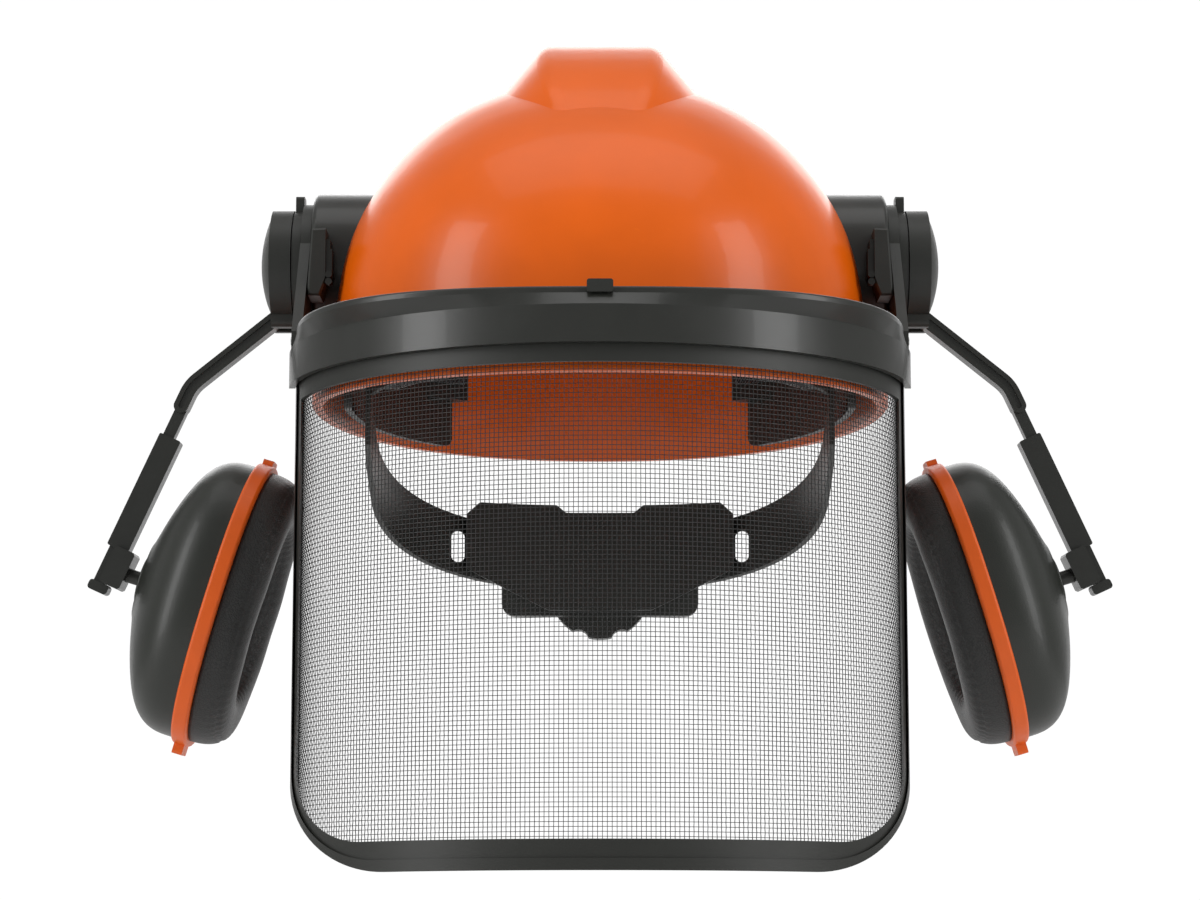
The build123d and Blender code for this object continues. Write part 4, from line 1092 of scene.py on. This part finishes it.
@dataclass
class CrownStrap:
    """One webbing strap that arches over the head in a standing plane."""

    name: str
    turn: float
    width: float = 20.0 * MM
    thickness: float = 1.2 * MM
    foot: float = 29.0 * MM
    stations: int = 180

    def arch(self) -> tuple[np.ndarray, np.ndarray]:
        """The strap's middle line and its outward normals, in its own plane.

        Returns:
            Distance along the plane and height, and the normals, for each station.
        """
        low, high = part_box(self.name)
        spread = self.width / 2 * math.sin(self.turn)
        ahead = (-low.y - spread) / math.cos(self.turn)
        behind = (high.y - spread) / math.cos(self.turn)
        rise = high.z - self.foot
        bow = np.linspace(0, math.pi, self.stations)
        reach = np.where(bow < math.pi / 2, ahead, behind) - self.thickness / 2
        tall = rise - self.thickness / 2
        line = np.stack([reach * np.cos(bow), self.foot + tall * np.sin(bow)], axis=-1)
        outward = np.stack([np.cos(bow) / reach, np.sin(bow) / tall], axis=-1)
        outward /= np.linalg.norm(outward, axis=1, keepdims=True)
        return line, outward

    def place(self, along: np.ndarray, height: np.ndarray, across: np.ndarray) -> np.ndarray:
        """Turns places in the strap's plane into the row frame.

        Args:
            along: Distance from the crown's axis, towards the front.
            height: Height over the rim.
            across: Distance across the strap.

        Returns:
            Points in the row frame.
        """
        turn = self.turn if self.name.endswith("a") else -self.turn
        front = (math.sin(turn), -math.cos(turn))
        x = along * front[0] + across * front[1]
        y = along * front[1] - across * front[0]
        return np.stack([x, y, height], axis=-1)

    def build(self, wardrobe: Wardrobe) -> list[bpy.types.Object]:
        """Makes the strap and its stitches.

        Args:
            wardrobe: The finishes.

        Returns:
            The strap and its rows of stitches.
        """
        line, outward = self.arch()
        loop = 24
        phi = np.arange(loop) * 2 * math.pi / loop
        side = signed_power(np.cos(phi), 2 / 7) * self.width / 2
        lift = signed_power(np.sin(phi), 2 / 2.6) * self.thickness / 2
        lift *= 0.8 + 0.2 * (np.abs(side) / (self.width / 2)) ** 6
        along = line[:, None, 0] + outward[:, None, 0] * lift[None, :]
        height = line[:, None, 1] + outward[:, None, 1] * lift[None, :]
        points = self.place(along, height, np.repeat(side[None, :], self.stations, axis=0))
        faces = grid_faces(self.stations, loop, False, True, self.name.endswith("b")).tolist()
        faces.append(list(range(loop)))
        faces.append([(self.stations - 1) * loop + k for k in reversed(range(loop))])
        strap = build_piece(self.name + "_webbing", points, faces)
        run = np.concatenate([[0.0], np.cumsum(np.linalg.norm(np.diff(line, axis=0), axis=1))])
        layer = strap.data.uv_layers.new(name="lengthwise")
        corners = np.zeros(len(strap.data.loops), dtype=np.int32)
        strap.data.loops.foreach_get("vertex_index", corners)
        spread = np.stack([side[corners % loop], run[corners // loop]], axis=-1)
        layer.data.foreach_set("uv", spread.astype(np.float32).ravel())
        wardrobe.dress(strap, "webbing")
        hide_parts(self.name)
        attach(strap, "helmet")
        made = [strap]
        for word, share in (("front", 0.84), ("back", -0.84)):
            lifted = line + outward * self.thickness * 0.44
            across = np.full(self.stations - 12, share * self.width / 2)
            path = self.place(lifted[6:-6, 0], lifted[6:-6, 1], across)
            label = f"{self.name}_stitches_{word}"
            row = stitch_row(label, path, 2.6 * MM, 1.2 * MM, 0.24 * MM)
            wardrobe.dress(row, "thread")
            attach(row, "helmet")
            made.append(row)
        return made


@dataclass
class CrownPad:
    """The quilted round pad under the straps' crossing."""

    radius: float = 29.6 * MM
    low: float = 99.1 * MM
    thickness: float = 4.8 * MM

    def build(self, wardrobe: Wardrobe) -> list[bpy.types.Object]:
        """Makes the pad and its stitched ring.

        Args:
            wardrobe: The finishes.

        Returns:
            The pad and the stitches.
        """
        stations, loop = 160, 48
        turns = np.arange(stations) * 2 * math.pi / stations
        bow = np.linspace(-math.pi / 2, math.pi / 2, loop)
        share = np.clip(signed_power(np.cos(bow), 2 / 3.0), 0.015, 1)
        lift = signed_power(np.sin(bow), 2 / 2.2)
        ring = np.exp(-(((share - 0.8) / 0.035) ** 2))
        quilt = 1 - 0.35 * ring
        petals = 1 - 0.18 * np.exp(-((np.sin(turns * 4) / 0.16) ** 2))[:, None] * (share < 0.78)[None, :]
        across = self.radius * share[None, :] * (1 + 0.006 * np.sin(turns * 37)[:, None] * ring[None, :])
        x = across * np.cos(turns)[:, None]
        y = across * np.sin(turns)[:, None]
        middle = self.low + self.thickness / 2
        z = middle + lift[None, :] * quilt[None, :] * petals * self.thickness / 2
        points = np.stack([x, y, z], axis=-1)
        faces = grid_faces(stations, loop, True, False).tolist()
        faces.append([k * loop for k in reversed(range(stations))])
        faces.append([k * loop + loop - 1 for k in range(stations)])
        pad = wardrobe.dress(build_piece("crown_pad_cushion", points, faces), "padding")
        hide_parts("crown_pad")
        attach(pad, "helmet")
        at = np.linspace(0, 2 * math.pi, 240)
        seam = self.radius * 0.8
        level = np.full_like(at, middle - self.thickness * 0.33)
        path = np.stack([seam * np.cos(at), seam * np.sin(at), level], axis=-1)
        row = stitch_row("crown_pad_stitches", path, 2.8 * MM, 1.3 * MM, 0.28 * MM)
        wardrobe.dress(row, "thread")
        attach(row, "helmet")
        return [pad, row]


# ---- studio ----


@dataclass
class Studio:
    """A pale floor, a bright backdrop, softboxes and the camera."""

    camera_place: tuple[float, float, float] = (0.0, -1.375, -0.178)
    camera_rise: float = math.radians(6.86)
    lens: float = 97.2
    floor_drop: float = 0.14
    floor_size: float = 12.0
    backdrop_y: float = 3.6
    backdrop_half: float = 2.6
    sky_strength: float = 0.36

    def build_floor(self) -> None:
        """A wide flat floor below the object."""
        low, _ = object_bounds()
        level = low.z - self.floor_drop
        half = self.floor_size / 2
        corners = [(-half, -half), (half, -half), (half, half), (-half, half)]
        points = np.array([[x, y, level] for x, y in corners])
        floor = build_piece("studio_floor", points, [[0, 1, 2, 3]])
        paint = bpy.data.materials.new("studio_paint")
        paint.use_nodes = True
        shader = paint.node_tree.nodes["Principled BSDF"]
        shader.inputs["Base Color"].default_value = (0.86, 0.86, 0.86, 1.0)
        shader.inputs["Roughness"].default_value = 0.8
        floor.data.materials.append(paint)
        floor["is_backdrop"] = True
        self.build_backdrop(level)

    def build_backdrop(self, level: float) -> None:
        """A bright white screen far behind the object.

        Args:
            level: The floor's height.
        """
        half, top = self.backdrop_half, level + 2 * self.backdrop_half
        corners = [(-half, level), (half, level), (half, top), (-half, top)]
        points = np.array([[x, self.backdrop_y, z] for x, z in corners])
        screen = build_piece("studio_backdrop", points, [[0, 1, 2, 3]])
        glow = bpy.data.materials.new("studio_glow")
        glow.use_nodes = True
        shader = glow.node_tree.nodes["Principled BSDF"]
        shader.inputs["Base Color"].default_value = (0.0, 0.0, 0.0, 1.0)
        shader.inputs["Emission Color"].default_value = (1.0, 1.0, 1.0, 1.0)
        shader.inputs["Emission Strength"].default_value = 1.0
        screen.data.materials.append(glow)
        screen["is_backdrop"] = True

    def add_softbox(
        self, name: str, place: Sequence[float], size: tuple[float, float], power: float
    ) -> None:
        """A rectangular light that looks at the helmet.

        Args:
            name: The light's name.
            place: Where it stands.
            size: Its width and height.
            power: Its power, in watts.
        """
        data = bpy.data.lights.new(name, "AREA")
        data.shape = "RECTANGLE"
        data.size, data.size_y = size
        data.energy = power
        lamp = bpy.data.objects.new(name, data)
        lamp.location = place
        lamp.rotation_euler = (Vector((0, 0, 0)) - Vector(place)).to_track_quat("-Z", "Y").to_euler()
        bpy.context.scene.collection.objects.link(lamp)

    def build(self) -> None:
        """Makes the floor, the lights, the sky and the camera."""
        self.build_floor()
        self.add_softbox("key_left", (-1.5, -0.9, 0.55), (0.55, 1.6), 15.0)
        self.add_softbox("key_right", (1.5, -0.9, 0.55), (0.55, 1.6), 14.0)
        self.add_softbox("top", (0.0, -0.3, 1.7), (1.8, 1.0), 7.0)
        self.add_softbox("rim", (0.0, 1.8, 0.9), (2.0, 0.8), 10.0)
        scene = bpy.context.scene
        world = bpy.data.worlds.new("studio_sky")
        world.use_nodes = True
        sky = world.node_tree.nodes["Background"]
        sky.inputs["Color"].default_value = (1.0, 1.0, 1.0, 1.0)
        sky.inputs["Strength"].default_value = self.sky_strength
        scene.world = world
        scene.view_settings.view_transform = "Standard"
        data = bpy.data.cameras.new("front_camera")
        data.lens = self.lens
        data.sensor_width = 36.0
        camera = bpy.data.objects.new("front_camera", data)
        camera.location = self.camera_place
        camera.rotation_euler = (math.pi / 2 + self.camera_rise, 0.0, 0.0)
        scene.collection.objects.link(camera)
        scene.camera = camera


def main() -> None:
    """Builds every sub-assembly in order."""
    logging.basicConfig(level=logging.INFO, format="%(name)s: %(message)s")
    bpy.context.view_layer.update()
    wardrobe = Wardrobe()
    wardrobe.dress_nodes()
    assemblies = [
        VisorScreen(),
        EarDefender(Side.LEFT),
        EarDefender(Side.RIGHT),
        Sweatband(),
        CrownStrap("crown_strap_a", math.radians(38.0)),
        CrownStrap("crown_strap_b", math.radians(38.0)),
        CrownPad(),
    ]
    for assembly in assemblies:
        for piece in assembly.build(wardrobe):
            LOG.info("%s: %d faces", piece.name, len(piece.data.polygons))
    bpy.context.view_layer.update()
    Studio().build()


if __name__ == "__main__":
    main()
